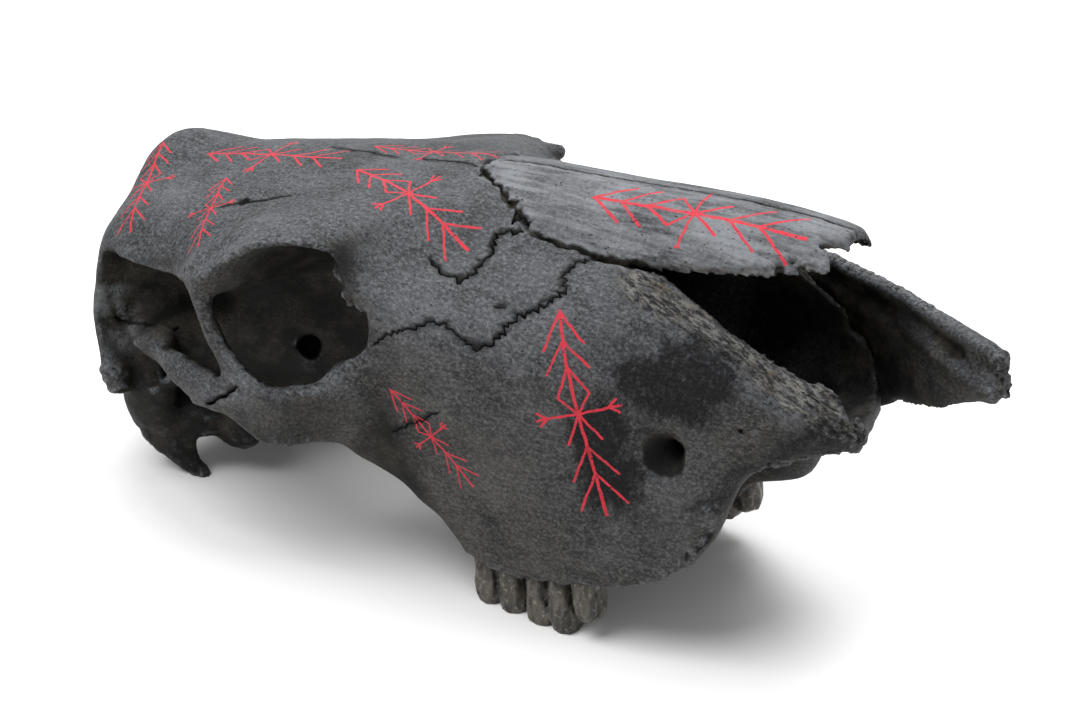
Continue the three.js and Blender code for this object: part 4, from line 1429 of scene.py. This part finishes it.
@dataclass
class SurfaceMasks:
    """Where the bone is rough, fibrous, burnt, brown or glossy, and where shade and sheen are painted on it, from its
    place on the level skull.
    """

    level: np.ndarray
    normals: np.ndarray

    ORBIT_RIM = (
        (-106, -93, 115), (-102, -93, 122), (-93, -92, 126), (-79, -89, 128), (-61, -86, 127),
        (-46, -83, 124), (-41, -82, 117), (-42, -81, 98), (-36, -80, 93), (-46, -81, 83),
        (-58, -83, 75), (-71, -85, 71), (-82, -87, 70),
    )
    BAR = ((-107, -92, 115), (-105, -91, 100), (-104, -91, 89), (-92, -88, 73))
    VESSELS = (((-111.7, -52.8, 140.8), 3.0), ((-177, -60, 117), 3.2), ((93, -41, 32), 2.0))
    BAND_EDGE = ((48, 90), (62, 81), (84, 65), (99, 51), (113, 36), (128, 21))
    BAND_SLOPE = math.radians(38)
    EAR_KNOBS = ((-188, -80, 76), (14, 9, 14))
    SNOUT_EDGE = ((135, -24, 31), (135, -24, 21), (126, -26, 15), (108, -30, 10), (97, -32, 12))
    TOOTH_ROW_EDGE = ((74, -46, 3), (72, -46, -3), (69, -47, -9), (67, -48, -12), (63, -49, -17), (52, -53, -19))
    ORBIT_FLAP = ((-54, -74, 120), (-55, -72, 112), (-52, -74, 102), (-45, -77, 97))
    SOOT_BY_THE_MARK = ((43, -60, 30), (18, 22, 34))
    SOOT_ON_THE_SLOPE = ((73, -46, 52), (36, 22, 24))
    SOOT_IN_FRONT = ((118, -32, 26), (26, 20, 16))
    SOOT_OVER_THE_ROOTS = ((96, -40, 8), (40, 22, 12))
    # Painted shade: the inside of the hole in the upper jaw is painted near black.
    PAINTED_SHADE_IN_THE_HOLE = ((62, -48, 26), (10, 14, 9.5))
    CHEEK_SHADE = ((-84, -90, 58), (44, 24, 17))
    BROW_GLOSS = ((-185, -68, 106), (10, 14, 24))

    def near(self, line: Points, none: float, full: float) -> np.ndarray:
        """Weighs how near each place is to a line."""
        return fade(line_distance(self.level, np.array(line, float)), none, full)

    def pits(self) -> np.ndarray:
        """Weighs the porous rim of the eye socket, the bar behind it and the knobs behind the ear."""
        rim, bar = self.near(self.ORBIT_RIM, 9.0, 2.5) * 0.8, self.near(self.BAR, 8.0, 2.0) * 0.9
        return np.maximum(np.maximum(rim, bar), self.knobs())

    def fibre(self) -> np.ndarray:
        """Weighs the rough band where the missing front bone sat against the upper jaw.

        Returns:
            0 for smooth bone up to 1 for fibres.
        """
        x, y, z = self.warped(5.0, 3.0).T
        over = z - np.interp(x, *zip(*self.BAND_EDGE))
        outside = fade(self.normals[:, 1], -0.05, -0.25)
        return fade(over, -1.0, 3.0) * fade(x, 47, 60) * fade(y, -23.0, -26.0) * outside

    def warped(self, size: float, amount: float) -> np.ndarray:
        """Gives the places shifted to and fro, for patches with uneven borders.

        Args:
            size: How long one swell of the shift is.
            amount: How far the places shift.

        Returns:
            Rows of places in millimetres.
        """
        shift = np.stack([WARP_GRAIN.layered(self.level + 50.0 * k, size, 3) for k in range(3)], 1)
        return self.level + shift * amount

    def fibre_turn(self) -> np.ndarray:
        """Gives the turn that lays the fibres along the band."""
        c, s = math.cos(self.BAND_SLOPE), math.sin(self.BAND_SLOPE)
        return np.array([[c, 0, s], [0, 1, 0], [-s, 0, c]])

    def base(self) -> np.ndarray:
        """Weighs the uneven base of the skull behind the palate."""
        return fade(self.level[:, 2], 62.0, 48.0) * fade(self.level[:, 0], -62.0, -80.0)

    def knobs(self) -> np.ndarray:
        """Weighs the knobbly bone behind the ear."""
        return blob(self.level, *self.EAR_KNOBS)

    def broken(self) -> np.ndarray:
        """Weighs the broken edges of the upper jaw and the ragged flap at the eye socket."""
        jaw = np.maximum(self.near(self.SNOUT_EDGE, 10.0, 3.0), 0.7 * self.near(self.TOOTH_ROW_EDGE, 6.0, 1.5))
        return np.maximum(jaw, self.near(self.ORBIT_FLAP, 7.0, 2.5))

    def vessels(self, reach: float = 1.0) -> np.ndarray:
        """Weighs the mouths of the small vessel holes, out to a share of their size."""
        return np.max([blob(self.level, centre, (size * reach,) * 3) for centre, size in self.VESSELS], axis=0)

    def burn(self) -> np.ndarray:
        """Weighs the near black patches on the upper jaw: soot on its faces, and painted shade inside the hole in it.

        Returns:
            0 for clean bone up to 1 for the blackest.
        """
        level = self.warped(14.0, 9.0)
        patches = (
            blob(level, *self.SOOT_BY_THE_MARK),
            blob(level, *self.SOOT_ON_THE_SLOPE),
            blob(level, *self.SOOT_IN_FRONT) * 0.8,
            blob(level, *self.SOOT_OVER_THE_ROOTS) * 0.6,
            # Painted shade inside the hole in the upper jaw.
            blob(self.level, *self.PAINTED_SHADE_IN_THE_HOLE),
        )
        return np.max(patches, axis=0)

    def closed(self, shelter: np.ndarray) -> np.ndarray:
        """Weighs where painted shade darkens and browns the bone: closed in places, downward faces, the eye socket,
        the nose cavity and under the cheek's crest.

        Args:
            shelter: How closed in each place is.

        Returns:
            0 for open faces up to 1 for the most shaded ones.
        """
        x, y, z = self.level.T
        # Painted shade inside the eye socket, in the nose cavity and, as a painted shadow, under the cheek's crest.
        socket = fade(y, -82.0, -74.0) * fade(x, -36.0, -46.0) * fade(z, 128.0, 121.0) * 0.9
        snout = fade(x, 190.0, 118.0) * fade(x, 90.0, 98.0) * fade(y, -44.0, -40.0)
        snout = snout * fade(self.normals[:, 1], -0.3, 0.2) * fade(z, 79.0, 73.0) * 0.85
        # Painted shade on faces that look down.
        below = fade(self.normals[:, 2], -0.25, -1.0) * 0.8
        cheek = blob(self.warped(10.0, 5.0), *self.CHEEK_SHADE) * 0.5
        return np.clip(np.max((fade(shelter, 0.1, 0.42), below, socket, snout, cheek), axis=0), 0, 1)

    def gloss(self) -> np.ndarray:
        """Weighs the glossy patch behind the brow, which is made smoother and also painted lighter as a sheen."""
        return blob(self.level, *self.BROW_GLOSS)


def folded(skin: Skin) -> tuple[np.ndarray, np.ndarray]:
    """Gives a skin's places and facings as if they all lay on the right side of the level skull.

    Args:
        skin: The piece's points.

    Returns:
        Rows of places in millimetres, and rows of facings.
    """
    level = level_out(skin.points)
    normals = skin.normals()
    normals[:, 1] *= np.where(level[:, 1] > 0, -1.0, 1.0)
    return on_right_side(level), normals


def rest_on_floor(obj: bpy.types.Object) -> None:
    """Lifts what reaches under the floor up to it.

    Args:
        obj: The piece.
    """
    skin = Skin(obj)
    skin.points[:, 2] = np.maximum(skin.points[:, 2], 0.0)
    skin.write()


def dress_bone(obj: bpy.types.Object, shelter: Shelter, cracks: Sequence[Vector] = ()) -> None:
    """Stores what the bone's material needs to know about each place on it.

    Args:
        obj: The finished piece of bone.
        shelter: Tells how closed in a place is.
        cracks: Points along its open cracks.
    """
    skin = Skin(obj)
    level, inwards = folded(skin)
    normals = skin.normals()
    masks = SurfaceMasks(level, inwards)
    depth = skin.depth(0.7, 4)
    seam = near_points(skin.points, cracks)
    closed = skin.relax(shelter.at(skin.points, normals)[:, None], np.full(len(level), 0.5), 3)[:, 0]
    skin.store("pits", masks.pits())
    skin.store("fibre", masks.fibre() * (obj.name == "dressed_cranium"))
    skin.store("burn", masks.burn())
    # Painted shade: this weight darkens and browns closed in places, downward faces and cavities.
    skin.store("closed", masks.closed(closed))
    # Where the bone is smoother and also painted lighter as a sheen.
    skin.store("gloss", masks.gloss())
    # Painted shade: how far each face looks up, so that sides and undersides are painted darker.
    skin.store("top", fade(normals[:, 2], -0.25, 0.65))
    # Painted shade in creases, along the open sutures and in the mouths of the vessel holes.
    hollow = np.maximum(fade(depth, 0.3, 1.0), 0.8 * fade(seam, 0.85, 0.25))
    skin.store("hollow", np.maximum(hollow, fade(masks.vessels(), 0.0, 0.4)))
    # Ridges away from the cracks and hollows, for a painted highlight that is partly edge wear.
    open_ridge_wear_and_highlight = fade(-depth, 0.12, 0.6) * fade(seam, 1.5, 3.5) * fade(closed, 0.6, 0.3)
    skin.store("ridge", open_ridge_wear_and_highlight * fade(masks.vessels(3.0), 0.3, 0.0))
    paint_marks(obj)


def near_points(points: np.ndarray, targets: Sequence[Vector]) -> np.ndarray:
    """Measures how far points are from the nearest of some others.

    Args:
        points: Rows of x, y and z in metres.
        targets: The points to measure to.

    Returns:
        One distance for each point, in millimetres.
    """
    if not targets:
        return np.full(len(points), 1e3)
    tree = KDTree(len(targets))
    for k, spot in enumerate(targets):
        tree.insert(spot, k)
    tree.balance()
    return np.array([tree.find(Vector(p))[2] for p in points]) / MM


@dataclass
class ThinBone:
    """A thin bone that lies apart from the rest: a nasal bone or the bone in front of the jaw."""

    node: str
    slot: str
    voxel: float = 0.85
    ragged: float = 0.5
    triangles: int = 60_000
    lobes: tuple[Lobe, ...] = ()
    grooves: tuple[Groove, ...] = ()
    torn: tuple[Lobe, ...] = ()
    swell_height: float = 0.22
    tear_height: float = 3.2
    tear_depth: float = 0.8
    grain: Grain = field(default_factory=lambda: Grain(SEED + 1))

    def build(self, material: bpy.types.Material, shelter: Shelter) -> bpy.types.Object:
        """Makes the piece.

        Args:
            material: The bone's material.
            shelter: Tells how closed in a place is.

        Returns:
            The piece.
        """
        obj = merged_copy(self.node, "dressed_" + self.node)
        add_lobes(obj, self.lobes)
        revoxel(obj, self.voxel)
        skin = Skin(obj)
        keen = skin.keenness(6)
        skin.settle(0.06 + 0.6 * fade(keen, 0.2, 0.06), 24)
        skin.settle(np.full(len(keen), 0.4), 2)
        level = level_out(skin.points)
        places = on_right_side(level)
        push = self.grain.layered(level, 16.0, 3) * self.swell_height
        push += fade(keen, 0.05, 0.2) * self.grain.layered(level + 40, 2.6, 2) * self.ragged
        for groove in self.grooves:
            push += groove.lift(places)
        for tear in self.torn:
            push += tear.weigh(places) * (self.grain.layered(level + 80, 5.0, 3) * self.tear_height - self.tear_depth)
        skin.push(push * MM)
        skin.points = ragged_sutures(skin.points)
        skin.write()
        thin_out(obj, self.triangles)
        dress_bone(obj, shelter)
        finish_piece(obj, [self.node], material)
        return obj


@dataclass
class Tooth:
    """One cheek tooth: a grooved, stained crown."""

    node: str
    voxel: float = 0.7
    flute_height: float = 0.8
    rough_height: float = 0.6
    wear: float = 0.15
    grain: Grain = field(default_factory=lambda: Grain(SEED + 2))

    def build(self, material: bpy.types.Material) -> bpy.types.Object:
        """Makes the piece.

        Args:
            material: The enamel's material.

        Returns:
            The piece.
        """
        obj = merged_copy(self.node, "dressed_" + self.node)
        revoxel(obj, self.voxel)
        skin = Skin(obj)
        keen = skin.keenness(5)
        skin.settle(0.05 + 0.5 * fade(keen, 0.2, 0.06), 10)
        points = skin.points / MM
        low = fade(points[:, 2], 0.0, 2.0)
        push = self.grain.at(points, (2.8, 2.8, 14.0)) * self.flute_height
        push += self.grain.layered(points + 30, 4.5, 3) * self.rough_height
        skin.push((push - self.wear) * low * MM)
        skin.points[:, 2] = np.maximum(skin.points[:, 2], 0.0)
        skin.write()
        # Painted shade for the tooth's grooves.
        skin.store("hollow", fade(skin.depth(0.7, 6), 0.2, 0.7))
        finish_piece(obj, [self.node], material)
        return obj


@dataclass(frozen=True)
class Softbox:
    """A soft round light: its name, its place and width in metres, and its power in watts."""

    name: str
    place: Triple
    size: float
    power: float

    def hang(self, target: Vector) -> None:
        """Adds the light, turned to what it lights.

        Args:
            target: The place that it faces, in metres.
        """
        data = bpy.data.lights.new(self.name, "AREA")
        data.shape = "DISK"
        data.size = self.size
        data.energy = self.power
        light = bpy.data.objects.new(self.name, data)
        light.location = self.place
        light.rotation_euler = (target - Vector(self.place)).to_track_quat("-Z", "Y").to_euler()
        bpy.context.scene.collection.objects.link(light)


@dataclass(frozen=True)
class Studio:
    """The pale floor, the soft lights and the camera."""

    camera_place: Triple = (0.45168, -0.6869, 0.44589)
    camera_turn: Triple = (65.8702, -3.2182, 34.456)
    lens: float = 73.3533
    sensor: float = 36.0
    floor_tone: Triple = (0.86, 0.86, 0.86)
    floor_half_width: float = 6.0
    softboxes: tuple[Softbox, ...] = (
        Softbox("KeySoftbox", (-0.35, -0.75, 1.35), 1.1, 19.0),
        Softbox("TopSoftbox", (0.1, 0.35, 1.5), 1.3, 17.0),
        Softbox("BackSoftbox", (-0.6, 0.9, 1.2), 0.9, 9.0),
    )
    lit_place: Triple = (0.0, 0.0, 0.08)
    ambient: float = 0.5

    def build(self) -> None:
        """Sets up all of it."""
        self.camera()
        self.floor()
        for softbox in self.softboxes:
            softbox.hang(Vector(self.lit_place))
        world = bpy.data.worlds.new("Studio")
        world.use_nodes = True
        world.node_tree.nodes["Background"].inputs["Color"].default_value = (1, 1, 1, 1)
        world.node_tree.nodes["Background"].inputs["Strength"].default_value = self.ambient
        bpy.context.scene.world = world
        bpy.context.scene.view_settings.view_transform = "Standard"

    def camera(self) -> None:
        """Puts the camera where the photograph was taken from."""
        data = bpy.data.cameras.new("Camera")
        data.lens = self.lens
        data.sensor_width = self.sensor
        camera = bpy.data.objects.new("Camera", data)
        camera.location = self.camera_place
        camera.rotation_euler = [math.radians(a) for a in self.camera_turn]
        bpy.context.scene.collection.objects.link(camera)
        bpy.context.scene.camera = camera

    def floor(self) -> None:
        """Lays a plain pale floor under the skull."""
        bm = bmesh.new()
        bmesh.ops.create_grid(bm, x_segments=1, y_segments=1, size=self.floor_half_width)
        floor = new_object("Floor", bm)
        material, _, shader = new_material("FloorPaper")
        shader.inputs["Base Color"].default_value = (*self.floor_tone, 1)
        shader.inputs["Roughness"].default_value = 0.9
        floor.data.materials.append(material)


def main() -> None:
    """Builds every piece of the skull and the studio round it."""
    logging.basicConfig(level=logging.INFO, format="%(name)s: %(message)s")
    effects = SharedEffects()
    bone = BoneFinish("DyedBone").build(effects)
    nasal = BoneFinish(
        "DyedNasalBone", tone=(0.026, 0.0275, 0.03), light_tone=(0.2, 0.209, 0.225), streaked=0.4
    ).build(effects)
    enamel = ToothFinish("StainedEnamel").build(effects)
    shelter = Shelter()
    Cranium().build(bone, shelter)
    for node in ("nasal_bone_right", "nasal_bone_left"):
        ThinBone(node, "nasal_bone", torn=(Lobe((118, -22, 82), (14, 16, 10)),)).build(nasal, shelter)
    ThinBone(
        "premaxilla_left",
        "bone",
        ragged=0.9,
        lobes=(Lobe((107, -32, 23), (15, 3.5, 8), (Side.LEFT,)),),
        grooves=(
            Groove(
                ((78, -36.5, 85), (102, -38, 71.5), (128, -31, 60), (154, -19, 49), (175, -10.5, 39.5)), 7.0, 2.6, 0.2
            ),
            Groove(((84, -38, 76), (104, -38, 62), (130, -29, 51), (156, -16, 40)), 6.5, -2.4, 0.2),
            Groove(((128, -28, 52), (142, -21, 42), (156, -14, 32), (168, -10, 26)), 6.0, 2.0, 0.2),
        ),
        torn=(Lobe((177, -10, 31), (13, 12, 17)),),
    ).build(bone, shelter)
    for node in sorted(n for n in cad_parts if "molar" in n):
        Tooth(node).build(enamel)
    Studio().build()


if __name__ == "__main__":
    main()
